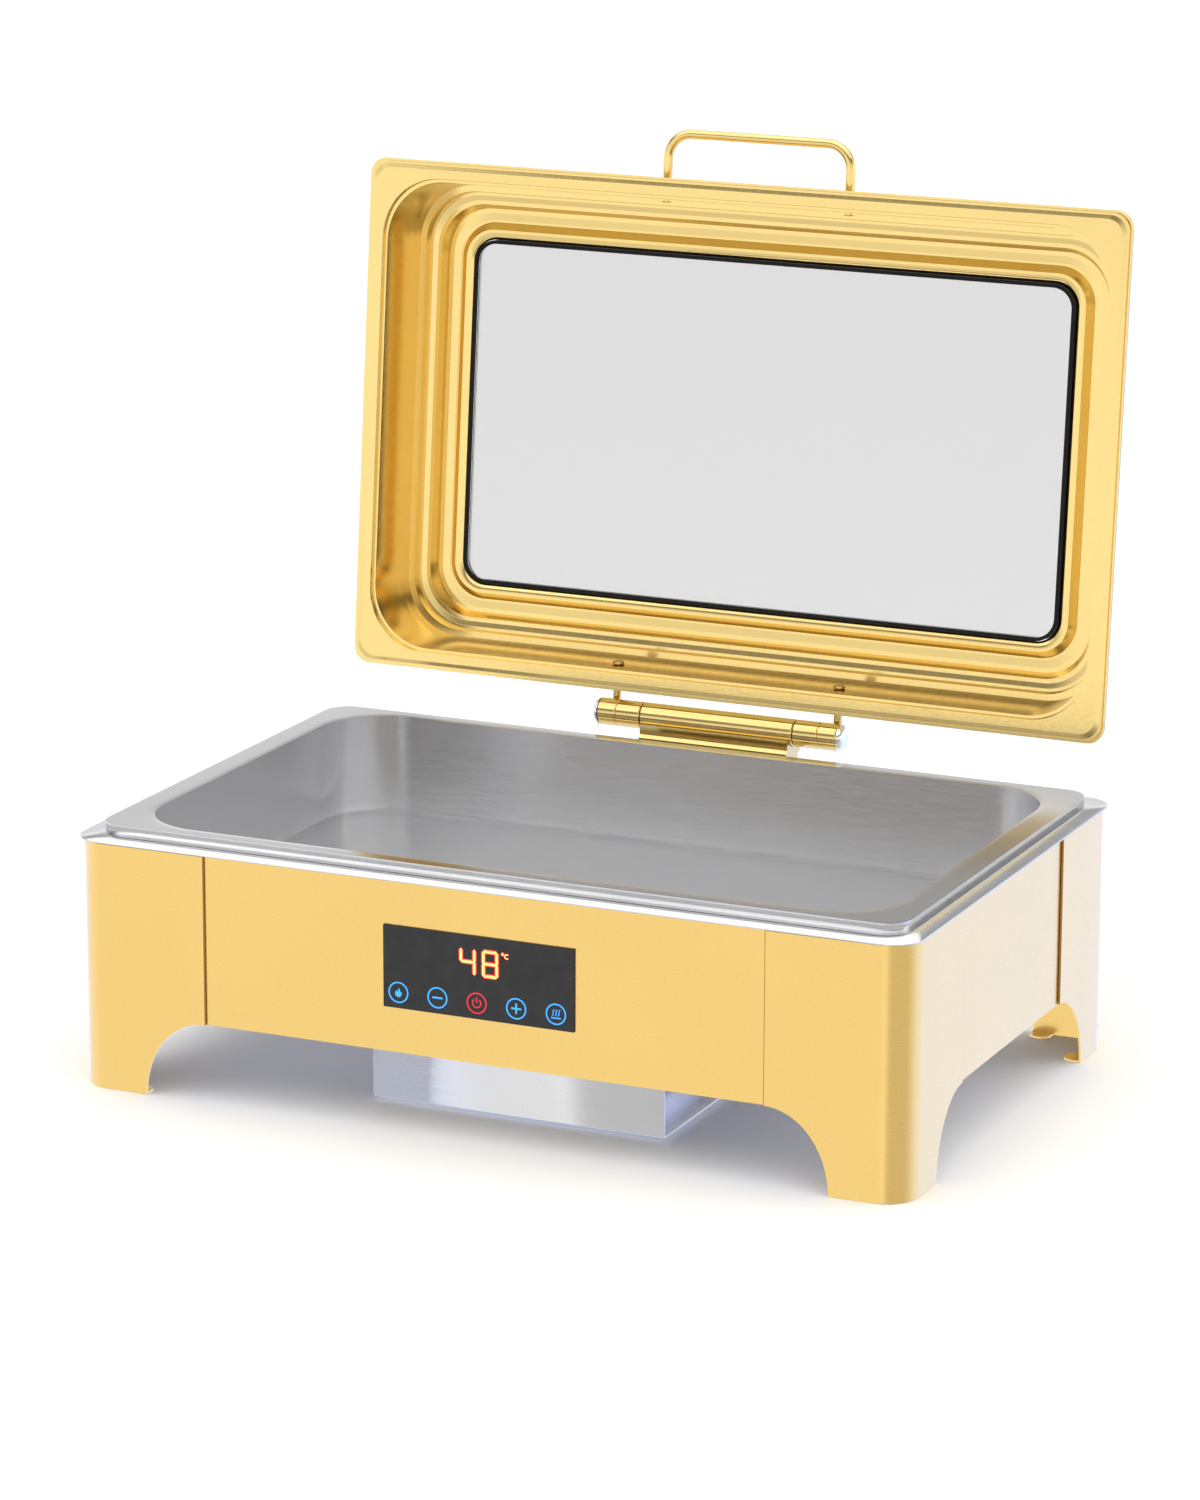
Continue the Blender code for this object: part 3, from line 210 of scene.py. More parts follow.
def make_finishes():
    finishes = {
        "gold_front": brushed_metal("gold_front", GOLD, 0.27, (60, 60, 2600), coat=1.0),
        "gold_polished": brushed_metal("gold_polished", GOLD_LID, 0.15, (500, 60, 500), spread=0.04),
        "gold_bright": brushed_metal("gold_bright", GOLD_LID, 0.12, (60, 900, 900), spread=0.03),
        "steel_pan": brushed_metal("steel_pan", STEEL, 0.22, (40, 1500, 1500), spread=0.05),
        "steel_cover": brushed_metal("steel_cover", STEEL, 0.24, (60, 60, 1800), spread=0.05),
        "screw_bronze": brushed_metal("screw_bronze", (0.42, 0.26, 0.08), 0.30, (300, 300, 300)),
        "cap_steel": brushed_metal("cap_steel", (0.86, 0.85, 0.82), 0.20, (300, 300, 300)),
        "zinc": brushed_metal("zinc", (0.62, 0.64, 0.66), 0.36, (300, 300, 300), spread=0.10),
        "aluminium": brushed_metal("cast_aluminium", (0.66, 0.67, 0.68), 0.45, (200, 200, 200), spread=0.10),
    }
    rubber = Finish("black_rubber", (0.008, 0.008, 0.007), 0.6).set(Specular_IOR_Level=0.2)
    dust = rubber.noise(420.0, detail=4.0)
    rubber.vary_colour(dust, (0.006, 0.006, 0.005), (0.013, 0.012, 0.011)).vary_roughness(dust, 0.55, 0.7)
    finishes["rubber"] = rubber.bump(dust, 0.00004).material
    plastic = Finish("black_plastic", (0.02, 0.02, 0.021), 0.45)
    grain = plastic.noise(1400.0, detail=3.0)
    plastic.vary_colour(grain, (0.018, 0.018, 0.019), (0.03, 0.03, 0.031)).vary_roughness(grain, 0.38, 0.55)
    finishes["plastic"] = plastic.bump(grain, 0.00005).material
    finishes["glass"] = clear_glass()
    finishes["keys"] = printed_glass()
    board = Finish("circuit_board", (0.02, 0.16, 0.06), 0.4)
    tracks = board.noise(260.0, (1, 1, 1), detail=0.0)
    board.vary_colour(tracks, (0.012, 0.11, 0.04), (0.03, 0.20, 0.08)).vary_roughness(tracks, 0.32, 0.5)
    finishes["board"] = board.material
    display = Finish("display_block", (0.35, 0.04, 0.02), 0.35)
    haze = display.noise(300.0)
    finishes["display"] = display.vary_roughness(haze, 0.28, 0.42).material
    fibre = Finish("ceramic_fibre", (0.82, 0.80, 0.74), 0.95)
    tufts = fibre.noise(500.0, (1, 1, 3), detail=6.0)
    fibre.vary_colour(tufts, (0.70, 0.68, 0.62), (0.86, 0.84, 0.79)).bump(tufts, 0.0002)
    finishes["fibre"] = fibre.material
    jacket = Finish("lead_jacket", (0.32, 0.31, 0.30), 0.55)
    chalk = jacket.noise(700.0)
    jacket.vary_colour(chalk, (0.27, 0.26, 0.25), (0.36, 0.35, 0.34)).vary_roughness(chalk, 0.48, 0.62)
    finishes["jacket"] = jacket.bump(chalk, 0.00004).material
    finishes["digits"] = lit_ink("digit_core", (1.0, 0.34, 0.10), 2.0)
    finishes["glow"] = lit_ink("digit_glow", (0.75, 0.035, 0.01), 0.55)
    finishes["blue_ink"] = lit_ink("key_blue", (0.03, 0.30, 0.78), 0.75)
    finishes["red_ink"] = lit_ink("key_red", (0.55, 0.012, 0.03), 0.75)
    return finishes


def clear_glass():
    """Tempered glass with the faint haze of handling."""
    glass = Finish("lid_glass_clear", (0.61, 0.61, 0.61), 0.02)
    haze = glass.noise(14.0, detail=4.0)
    glass.vary_roughness(haze, 0.010, 0.035)
    glass.set(Transmission_Weight=1.0, IOR=1.45)
    return glass.material


def printed_glass():
    """Dark printed touch glass: glossy, with a trace of orange peel."""
    glass = Finish("touch_glass", (0.024, 0.024, 0.025), 0.14).set(Specular_IOR_Level=0.3)
    ripple = glass.noise(90.0, detail=2.0)
    glass.vary_roughness(ripple, 0.11, 0.20).bump(ripple, 0.00002, 0.3)
    glass.vary_colour(ripple, (0.022, 0.022, 0.023), (0.027, 0.027, 0.028))
    return glass.material


def lit_ink(name, colour, strength):
    """Print or a lamp that glows a little, uneven as a lit stencil is."""
    ink = Finish(name, colour, 0.4)
    patches = ink.noise(900.0, detail=2.0)
    ink.vary_roughness(patches, 0.32, 0.5)
    ink.set(Emission_Color=(*colour, 1.0), Emission_Strength=strength)
    return ink.material


# ---------------------------------------------------------------- mesh helpers
def new_piece(name, bm, finish, body, replaced=()):
    """Turns a bmesh into a smooth-shaded piece that rides on a body."""
    bm.normal_update()
    mesh = bpy.data.meshes.new(name)
    bm.to_mesh(mesh)
    bm.free()
    return adopt(name, mesh, finish, body, replaced)


def adopt(name, data, finish, body, replaced=()):
    piece = bpy.data.objects.new(name, data)
    bpy.context.scene.collection.objects.link(piece)
    data.materials.append(FINISHES[finish])
    if isinstance(data, bpy.types.Mesh):
        data.shade_smooth()
        data.set_sharp_from_angle(angle=SMOOTH_ANGLE)
    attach(piece, body)
    if replaced:
        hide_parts(*replaced)
    return piece


def thicken(piece, thickness):
    """Gives a sheet its thickness, on the side away from its normals."""
    solidify = piece.modifiers.new("thickness", "SOLIDIFY")
    solidify.thickness = thickness
    solidify.offset = -1.0
    solidify.use_even_offset = True
    return piece


def soften(rows, cuts, steps=BEND_STEPS):
    """Rounds the corners of a path whose points are number tuples. cuts gives each corner's reach."""
    vectors = [Vector(row) for row in rows]
    result = [vectors[0]]
    for before, corner, after, cut in zip(vectors, vectors[1:], vectors[2:], cuts):
        reach_in = min(cut, (before - corner).length * 0.49)
        reach_out = min(cut, (after - corner).length * 0.49)
        start = corner + (before - corner).normalized() * reach_in
        end = corner + (after - corner).normalized() * reach_out
        for step in range(steps + 1):
            t = step / steps
            result.append(start * (1 - t) ** 2 + corner * 2 * t * (1 - t) + end * t**2)
    result.append(vectors[-1])
    return result


def ring_points(half_x, half_y, radius):
    """A rectangle with round corners, counter-clockwise, about the origin."""
    signs = ((1, 1), (-1, 1), (-1, -1), (1, -1))
    points = []
    for quadrant, (sign_x, sign_y) in enumerate(signs):
        for step in range(CORNER_STEPS + 1):
            angle = math.pi / 2 * (quadrant + step / CORNER_STEPS)
            x = sign_x * (half_x - radius) + radius * math.cos(angle)
            y = sign_y * (half_y - radius) + radius * math.sin(angle)
            points.append((x, y))
    return points


def loft(rows, place, floor=False, loop=False, flip=False, first_cap=False):
    """Skins rows of (inset from half sizes, level, radius). place maps x, y, level to a point."""
    bm = bmesh.new()
    rings = []
    for half_x, half_y, radius, level in rows:
        rings.append([bm.verts.new(place(x, y, level)) for x, y in ring_points(half_x, half_y, radius)])
    pairs = list(zip(rings, rings[1:]))
    if loop:
        pairs.append((rings[-1], rings[0]))
    count = len(rings[0])
    for outer, inner in pairs:
        for i in range(count):
            j = (i + 1) % count
            bm.faces.new((outer[i], outer[j], inner[j], inner[i]))
    if floor:
        bm.faces.new(rings[-1])
    if first_cap:
        bm.faces.new(reversed(rings[0]))
    if flip:
        bmesh.ops.reverse_faces(bm, faces=bm.faces)
    return bm


def on_body(x, y, level):
    return Vector((x, BODY_Y + y, level))


ALONG_LID = Vector((0, -math.cos(OPEN_ANGLE), math.sin(OPEN_ANGLE)))
INTO_LID = Vector((0, math.sin(OPEN_ANGLE), math.cos(OPEN_ANGLE)))


def on_lid(x, y, depth):
    """y runs from the lid's middle to its rear edge, depth away from the flange's face."""
    from_axis = LID_DEPTH / 2 - y - LID_REAR
    return HINGE_POINT + Vector((x, 0, 0)) + ALONG_LID * from_axis + INTO_LID * (LID_SEAT + depth)


def revolve(bm, profile, centre, axis, steps=48, closed=False):
    """Adds a turned shape to a bmesh: profile is (radius, offset along the axis)."""
    across = Vector((0, 0, 1)).cross(axis)
    if across.length < 0.1:
        across = Vector((1, 0, 0))
    across.normalize()
    up = axis.cross(across)
    rings = []
    for radius, offset in profile:
        middle = centre + axis * offset
        if radius < 1e-6:
            rings.append([bm.verts.new(middle)])
            continue
        rings.append(
            [
                bm.verts.new(
                    middle
                    + across * radius * math.cos(2 * math.pi * i / steps)
                    + up * radius * math.sin(2 * math.pi * i / steps)
                )
                for i in range(steps)
            ]
        )
    pairs = list(zip(rings, rings[1:]))
    if closed:
        pairs.append((rings[-1], rings[0]))
    for a, b in pairs:
        for i in range(steps):
            j = (i + 1) % steps
            if len(a) == 1:
                bm.faces.new((a[0], b[j], b[i]))
            elif len(b) == 1:
                bm.faces.new((a[i], a[j], b[0]))
            else:
                bm.faces.new((a[i], a[j], b[j], b[i]))
    return bm


def outward(bm):
    bmesh.ops.recalc_face_normals(bm, faces=bm.faces)
    return bm


# ---------------------------------------------------------------- body sheet
def leg_columns():
    """(x, y, lower edge) along a leg's outer face, for the corner on the +X +Y side."""
    seam_x = BODY_HALF_X - SEAM_INSET
    seam_y = BODY_HALF_Y - SEAM_INSET
    arch = SEAM_INSET - FOOT_WIDTH
    turns = [math.pi / 2 * step / ARCH_STEPS for step in range(ARCH_STEPS + 1)]
    columns = [(seam_x + arch * math.sin(t), BODY_HALF_Y, SKIRT_HEIGHT * math.cos(t)) for t in turns]
    for step in range(CORNER_STEPS + 1):
        angle = math.pi / 2 * (1 - step / CORNER_STEPS)
        x = BODY_HALF_X - BODY_CORNER + BODY_CORNER * math.cos(angle)
        y = BODY_HALF_Y - BODY_CORNER + BODY_CORNER * math.sin(angle)
        columns.append((x, y, 0.0))
    for turn in reversed(turns):
        columns.append((BODY_HALF_X, seam_y + arch * math.sin(turn), SKIRT_HEIGHT * math.cos(turn)))
    return columns


def add_tab(bm, corner, along, inward):
    """A foot tab with a round end, as a closed slab on the table."""
    radius = TAB_WIDTH / 2
    straight = TAB_LENGTH - radius
    outline = [(0.0, SHEET / 2), (TAB_WIDTH, SHEET / 2)]
    for step in range(17):
        angle = math.pi * step / 16
        outline.append((radius + radius * math.cos(angle), straight + radius * math.sin(angle)))
    face = bm.faces.new([bm.verts.new((*(corner + along * a + inward * b), 0.0)) for a, b in outline])
    drawn = bmesh.ops.extrude_face_region(bm, geom=[face])
    upper = [item for item in drawn["geom"] if isinstance(item, bmesh.types.BMVert)]
    bmesh.ops.translate(bm, verts=upper, vec=(0, 0, SHEET))


def make_leg(name, sign_x, sign_y):
    bm = bmesh.new()
    columns = [(Vector((sign_x * x, BODY_Y + sign_y * y)), z) for x, y, z in leg_columns()]
    rows = []
    for i, (point, low) in enumerate(columns):
        before = columns[max(i - 1, 0)][0]
        after = columns[min(i + 1, len(columns) - 1)][0]
        along = (after - before).normalized()
        inward = Vector((along.y, -along.x)) * (sign_x * sign_y)
        inner = point + inward * SHEET
        rows.append(
            [
                bm.verts.new((*point, low)),
                bm.verts.new((*point, SHELL_TOP)),
                bm.verts.new((*inner, SHELL_TOP)),
                bm.verts.new((*inner, low)),
            ]
        )
    for a, b in zip(rows, rows[1:]):
        for k in range(4):
            bm.faces.new((a[k], b[k], b[(k + 1) % 4], a[(k + 1) % 4]))
    bm.faces.new(rows[0])
    bm.faces.new(rows[-1])
    middle = Vector((0, BODY_Y))
    add_tab(
        bm,
        middle + Vector((sign_x * (BODY_HALF_X - FOOT_WIDTH), sign_y * BODY_HALF_Y)),
        Vector((sign_x, 0)),
        Vector((0, -sign_y)),
    )
    add_tab(
        bm,
        middle + Vector((sign_x * BODY_HALF_X, sign_y * (BODY_HALF_Y - FOOT_WIDTH))),
        Vector((0, sign_y)),
        Vector((-sign_x, 0)),
    )
    new_piece(name + "_sheet", outward(bm), "gold_front", "chafer", (name,))


def make_legs():
    for name, sign_x, sign_y in (
        ("leg_front_left", -1, -1),
        ("leg_front_right", 1, -1),
        ("leg_rear_left", -1, 1),
        ("leg_rear_right", 1, 1),
    ):
        make_leg(name, sign_x, sign_y)


def add_block(bm, low, high):
    corners = [Vector((x, y, z)) for z in (low.z, high.z) for y in (low.y, high.y) for x in (low.x, high.x)]
    verts = [bm.verts.new(corner) for corner in corners]
    for face in ((0, 1, 3, 2), (4, 5, 7, 6), (0, 1, 5, 4), (2, 3, 7, 6), (0, 2, 6, 4), (1, 3, 7, 5)):
        bm.faces.new([verts[index] for index in face])


def make_seam_shade_strips():
    """A thin dark strip on the panel beside each leg's wing, at the joint: painted shade for the joint's
    shadow line.
    """
    width, clear, recess = 0.0005, 0.0001, 0.0002
    faces = (
        # half length and half depth of the body, seen by the strip, and whether it faces along X
        (BODY_HALF_X, BODY_HALF_Y, False),
        (BODY_HALF_Y, BODY_HALF_X, True),
    )
    bm = bmesh.new()
    for side in (-1, 1):
        for end in (-1, 1):
            for half_length, half_depth, along_x in faces:
                seam = half_length - SEAM_INSET - clear
                along = sorted((end * seam, end * (seam - width)))
                across = sorted((side * (half_depth - recess), side * (half_depth - SHEET)))
                xs, ys = (across, along) if along_x else (along, across)
                low = Vector((xs[0], BODY_Y + ys[0], SKIRT_HEIGHT))
                add_block(bm, low, Vector((xs[1], BODY_Y + ys[1], SHELL_TOP - GAP)))
    # the dark bronze of these strips is painted shade, standing for the shadow line at each joint
    new_piece("panel_seam_shade", outward(bm), "screw_bronze", "chafer")


def make_under_cover():
    """The steel channel below the body, with bent corners and flanges under the pan."""
    sheet = 0.0010
    half_y = (COVER_HIGH.y - COVER_LOW.y) / 2
    wall = half_y - 0.0120
    top, bottom = COVER_HIGH.z - sheet, COVER_LOW.z
    path = [(half_y, top), (wall, top), (wall, bottom), (-wall, bottom), (-wall, top), (-half_y, top)]
    path = soften(path, [0.0016] * 4)
    bm = bmesh.new()
    sides = []
    for x in (COVER_LOW.x, COVER_HIGH.x):
        sides.append([bm.verts.new((x, BODY_Y + y, z)) for y, z in path])
    for i in range(len(path) - 1):
        bm.faces.new((sides[0][i], sides[0][i + 1], sides[1][i + 1], sides[1][i]))
    piece = new_piece("under_cover_sheet", bm, "steel_cover", "chafer", ("under_cover",))
    bottom_face = min(piece.data.polygons, key=lambda face: face.center.z)
    if bottom_face.normal.z > 0:
        piece.data.flip_normals()
    thicken(piece, sheet)


# ---------------------------------------------------------------- pans
def make_water_pan():
    mouth_x, mouth_y = 0.2580, 0.1590
    floor = RIM_LOW.z + 0.0010
    outer = (RIM_HIGH.x, RIM_HIGH.y - BODY_Y, RIM_CORNER, RIM_TOP)
    rows = [
        outer,
        (mouth_x + 0.0010, mouth_y + 0.0010, 0.032, RIM_TOP),
        (mouth_x - 0.0090, mouth_y - 0.0090, 0.028, floor),
        (mouth_x - 0.0400, mouth_y - 0.0400, 0.010, floor),
    ]
    bm = loft(soften(rows, (0.0025, 0.009)), on_body, floor=True)
    thicken(new_piece("water_pan_pressing", bm, "steel_pan", "chafer", ("water_pan",)), 0.0010)


def make_food_pan():
    half_x, half_y = FOOD_HIGH.x, (FOOD_HIGH.y - FOOD_LOW.y) / 2
    mouth_x, mouth_y = 0.2485, 0.1525
    top, floor = FOOD_HIGH.z, FOOD_LOW.z + 0.0008
    rows = [
        (half_x, half_y, 0.016, RIM_TOP + GAP),
        (half_x, half_y, 0.016, top),
        (mouth_x + 0.0020, mouth_y + 0.0020, 0.046, top),
        (mouth_x - 0.0075, mouth_y - 0.0075, 0.042, floor),
        (mouth_x - 0.0600, mouth_y - 0.0600, 0.010, floor),
    ]
    bm = loft(soften(rows, (0.0045, 0.0035, 0.011)), on_body, floor=True)
    thicken(new_piece("food_pan_pressing", bm, "steel_pan", "pan", ("food_pan",)), 0.0008)


# ---------------------------------------------------------------- lid
def lid_row(inset, depth, radius):
    return (LID_WIDTH / 2 - inset, LID_DEPTH / 2 - inset, radius, depth)


def wall_inset(depth):
    """How far the inner face of the lid's wall is inset, at a depth below the flange."""
    return WALL_INSET + WALL_LEAN * (depth - 0.0040) / (WALL_DEPTH - 0.0040)


def make_lid():
    foot = WALL_INSET + WALL_LEAN
    corners = [
        # inset, depth, corner radius, rounding
        (0.0000, ROLLED_EDGE, LID_CORNER, 0.0),
        (0.0006, ROLLED_EDGE * 0.5, LID_CORNER, 0.0012),
        (0.0022, ROLLED_EDGE * 0.2, LID_CORNER, 0.0012),
        (ROLLED_EDGE + 0.0005, 0.0, LID_CORNER, 0.0014),
        (WALL_INSET - 0.0020, 0.0, MOUTH_CORNER, 0.0008),
        (WALL_INSET, 0.0030, MOUTH_CORNER, 0.0012),
        (foot, WALL_DEPTH, MOUTH_CORNER - 0.002, 0.0030),
        (foot + 0.5 * TREAD, WALL_DEPTH + 0.0055, MOUTH_CORNER - 0.005, 0.0016),
        (foot + 1.2 * TREAD, CROWN_DEPTH - 0.0080, MOUTH_CORNER - 0.008, 0.0022),
        (foot + 2.0 * TREAD, CROWN_DEPTH - 0.0008, MOUTH_CORNER - 0.011, 0.0022),
        (foot + 2.9 * TREAD, CROWN_DEPTH, MOUTH_CORNER - 0.015, 0.0012),
        (FRAME_INSET - FRAME_WIDTH, FRAME_DEPTH + 0.0003, WINDOW_CORNER + 0.004, 0.0008),
        (FRAME_INSET, FRAME_DEPTH, WINDOW_CORNER, 0.0),
    ]
    rows = [lid_row(*corner[:3]) for corner in corners]
    cuts = [corner[3] for corner in corners[1:-1]]
    bm = loft(soften(rows, cuts, 6), on_lid, flip=False)
    piece = new_piece("lid_pressing", bm, "gold_polished", "lid", ("lid_shell",))
    flange = min(piece.data.polygons, key=lambda face: face.center.y)
    if flange.normal.dot(INTO_LID) > 0:
        piece.data.flip_normals()
    thicken(piece, LID_SHEET)


def make_lid_glazing():
    near, far = GLASS_DEPTH, GLASS_DEPTH + GLASS_THICKNESS
    edge = 0.0005
    rows = [
        lid_row(GLASS_INSET + edge, near, 0.0135),
        lid_row(GLASS_INSET, near + edge, 0.0135),
        lid_row(GLASS_INSET, far - edge, 0.0135),
        lid_row(GLASS_INSET + edge, far, 0.0135),
    ]
    bm = outward(loft(rows, on_lid, floor=True, first_cap=True))
    new_piece("lid_glass_pane", bm, "glass", "lid", ("lid_glass",))
    wall = 0.0015
    outer, lip, groove, back_lip = 0.0529, 0.0553, 0.0546, 0.0550
    section = [
        (outer, near - wall, WINDOW_CORNER),
        (outer, far + wall, WINDOW_CORNER),
        (back_lip, far + wall, 0.0134),
        (back_lip, far + GAP, 0.0134),
        (groove, far + GAP, 0.0138),
        (groove, near - GAP, 0.0138),
        (lip, near - GAP, 0.0131),
        (lip, near - wall, 0.0131),
        (outer, near - wall, WINDOW_CORNER),
    ]
    rows = soften([lid_row(*point) for point in section], [0.0005] * 7, 2)[:-1]
    bm = outward(loft(rows, on_lid, loop=True))
    new_piece("glass_gasket_ring", bm, "rubber", "lid", ("glass_gasket",))


def make_handle():
    root = -LID_DEPTH / 2 + wall_inset(HANDLE_DEPTH) - LID_SHEET - 2 * GAP
    grip = -LID_DEPTH / 2 - HANDLE_REACH
    points = [on_lid(-HANDLE_HALF, root, HANDLE_DEPTH)]
    for side in (-1, 1):
        for step in range(13):
            turn = math.pi / 2 * (step / 12 if side < 0 else 1 - step / 12)
            x = side * (HANDLE_HALF - HANDLE_BEND + HANDLE_BEND * math.cos(turn))
            y = grip + HANDLE_BEND - HANDLE_BEND * math.sin(turn)
            points.append(on_lid(x, y, HANDLE_DEPTH))
    points.append(on_lid(HANDLE_HALF, root, HANDLE_DEPTH))
    curve = bpy.data.curves.new("lid_handle_rod", "CURVE")
    curve.dimensions = "3D"
    curve.bevel_depth = HANDLE_ROD
    curve.bevel_resolution = 8
    curve.use_fill_caps = True
    spline = curve.splines.new("POLY")
    spline.points.add(len(points) - 1)
    for spline_point, point in zip(spline.points, points):
        spline_point.co = (*point, 1.0)
    spline.use_smooth = True
    adopt("lid_handle_rod", curve, "gold_bright", "lid", ("lid_handle",))


def add_screw_head(bm, seat, direction, radius=0.0040, height=0.0019):
    """A domed head with a washer-like brim and a dimple in the middle."""
    profile = [
        (0.0, height * 0.62),
        (radius * 0.18, height * 0.66),
        (radius * 0.26, height),
        (radius * 0.55, height * 0.93),
        (radius * 0.80, height * 0.66),
        (radius * 0.94, height * 0.32),
        (radius, 0.0),
        (radius * 0.4, 0.0),
        (radius * 0.4, -0.0085),
        (0.0, -0.0085),
    ]
    revolve(bm, profile, seat, direction, steps=32)


def add_screw(kind, label, bm, finish):
    node = kind + "_" + label
    new_piece(kind + "_head_" + label, outward(bm), finish, "lid", (node,))


def make_lid_screws():
    """Screws through the rear wall into the hinge posts, and through the front wall into the handle."""
    rear_inset = wall_inset(POST_OFFSET - LID_SEAT)
    front_inset = wall_inset(HANDLE_DEPTH)
    for label, side in (("left", -1), ("right", 1)):
        bm = bmesh.new()
        seat = on_lid(side * POST_X, LID_DEPTH / 2 - rear_inset - 0.0006, POST_OFFSET - LID_SEAT)
        add_screw_head(bm, seat, ALONG_LID)
        add_screw("lid_screw", label, bm, "screw_bronze")
        bm = bmesh.new()
        seat = on_lid(side * HANDLE_HALF, -LID_DEPTH / 2 + front_inset + 0.0006, HANDLE_DEPTH)
        add_screw_head(bm, seat, -ALONG_LID, 0.0034, 0.0007)
        add_screw("handle_screw", label, bm, "gold_polished")


# ---------------------------------------------------------------- hinge
def make_hinge():
    along_x = Vector((1, 0, 0))
    edge = 0.0006
    barrel = [
        (BARREL_RADIUS - edge, BARREL_HIGH.x),
        (BARREL_RADIUS, BARREL_HIGH.x - edge),
        (BARREL_RADIUS, BARREL_LOW.x + edge),
        (BARREL_RADIUS - edge, BARREL_LOW.x),
        (BARREL_RADIUS - 0.0022, BARREL_LOW.x),
        (BARREL_RADIUS - 0.0022, BARREL_HIGH.x),
    ]
    bm = outward(revolve(bmesh.new(), barrel, HINGE_POINT, along_x, 64, closed=True))
    new_piece("hinge_barrel_tube", bm, "gold_bright", "chafer", ("hinge_barrel",))
    for label, side in (("left", -1), ("right", 1)):
        make_knuckle(label, side, along_x, edge)


def make_knuckle(label, side, along_x, edge):
    inner = BARREL_RADIUS - 0.0045
    profile = [
        (BARREL_RADIUS - edge, side * COLLAR_START),
        (BARREL_RADIUS, side * (COLLAR_START + edge)),
        (BARREL_RADIUS, side * (COLLAR_GROOVE - edge)),
        (BARREL_RADIUS - edge, side * COLLAR_GROOVE),
        (BARREL_RADIUS, side * (COLLAR_GROOVE + edge)),
        (BARREL_RADIUS, side * (COLLAR_END - edge)),
        (BARREL_RADIUS - edge, side * COLLAR_END),
        (inner, side * COLLAR_END),
        (inner, side * COLLAR_START),
    ]
    bm = revolve(bmesh.new(), profile, HINGE_POINT, along_x, 64, closed=True)
    root = HINGE_POINT + Vector((side * POST_X, 0, 0)) + INTO_LID * POST_OFFSET
    rear_inset = wall_inset(POST_OFFSET - LID_SEAT)
    reach = -LID_REAR + rear_inset - LID_SHEET - 2 * GAP
    post = [
        (0.0, reach),
        (POST_RADIUS, reach),
        (POST_RADIUS, 0.0066),
        (POST_RADIUS + 0.0012, 0.0048),
        (POST_RADIUS + 0.0016, 0.0010),
        (POST_RADIUS + 0.0016, -0.0036),
        (POST_RADIUS + 0.0008, -0.0044),
        (0.0, -0.0044),
    ]
    revolve(bm, post, root, ALONG_LID, 40)
    lug = [
        (0.0, 0.0008),
        (0.0036, 0.0006),
        (0.0044, -0.0004),
        (0.0044, -0.0060),
        (0.0, -0.0060),
    ]
    revolve(bm, lug, root, INTO_LID, 40)
    name = "hinge_knuckle_" + label
    new_piece(name, outward(bm), "gold_bright", "lid", ("hinge_arm_" + label,))
    cap_face = COLLAR_END + GAP
    cap = [
        (0.0, side * (cap_face + 0.0042)),
        (BARREL_RADIUS * 0.45, side * (cap_face + 0.0040)),
        (BARREL_RADIUS * 0.72, side * (cap_face + 0.0034)),
        (BARREL_RADIUS * 0.90, side * (cap_face + 0.0022)),
        (BARREL_RADIUS * 0.985, side * (cap_face + 0.0008)),
        (BARREL_RADIUS * 0.985, side * cap_face),
        (0.0, side * cap_face),
    ]
    bm = outward(revolve(bmesh.new(), cap, HINGE_POINT, along_x, 64))
    new_piece("hinge_cap_" + label, bm, "cap_steel", "lid", ("hinge_end_cap_" + label,))


# ---------------------------------------------------------------- touch panel print
PRINT_FACE = KEYS_LOW.y
KEY_PITCH = 0.0260
KEY_MIDDLE = -0.0008
KEY_HEIGHT = KEYS_LOW.z + 0.0100
KEY_RADIUS = 0.0062
LINE = 0.0009


def add_outline(bm, outline, lift):
    """A flat figure given as (x, z) points, standing a hair proud of the glass."""
    back = [bm.verts.new((x, PRINT_FACE, z)) for x, z in outline]
    front = [bm.verts.new((x, PRINT_FACE - lift, z)) for x, z in outline]
    bm.faces.new(front)
    bm.faces.new(reversed(back))
    for i in range(len(outline)):
        j = (i + 1) % len(outline)
        bm.faces.new((back[i], back[j], front[j], front[i]))


def add_bar(bm, start, end, width, lift):
    """A straight printed line with pointed ends."""
    start, end = Vector(start), Vector(end)
    along = (end - start).normalized()
    side = Vector((-along.y, along.x)) * width / 2
    tip = along * width / 2
    add_outline(bm, [start - tip, start + side, end + side, end + tip, end - side, start - side], lift)


def add_arc(bm, centre, radius, first, last, width, lift, steps=40):
    """A printed ring or part of one, between two angles in degrees."""
    whole = abs(last - first) >= 360
    count = steps if whole else steps + 1
    rims = []
    for distance in (radius - width / 2, radius + width / 2):
        for y in (PRINT_FACE, PRINT_FACE - lift):
            rims.append([])
            for i in range(count):
                angle = math.radians(first + (last - first) * i / steps)
                x = centre[0] + distance * math.cos(angle)
                z = centre[1] + distance * math.sin(angle)
                rims[-1].append(bm.verts.new((x, y, z)))
    order = (rims[0], rims[1], rims[3], rims[2])
    for a, b in zip(order, order[1:] + order[:1]):
        for i in range(count if whole else steps):
            j = (i + 1) % count
            bm.faces.new((a[i], a[j], b[j], b[i]))
    if not whole:
        bm.faces.new([rim[0] for rim in order])
        bm.faces.new([rim[-1] for rim in order])


def add_path(bm, points, width, lift):
    for start, end in zip(points, points[1:]):
        add_bar(bm, start, end, width, lift)


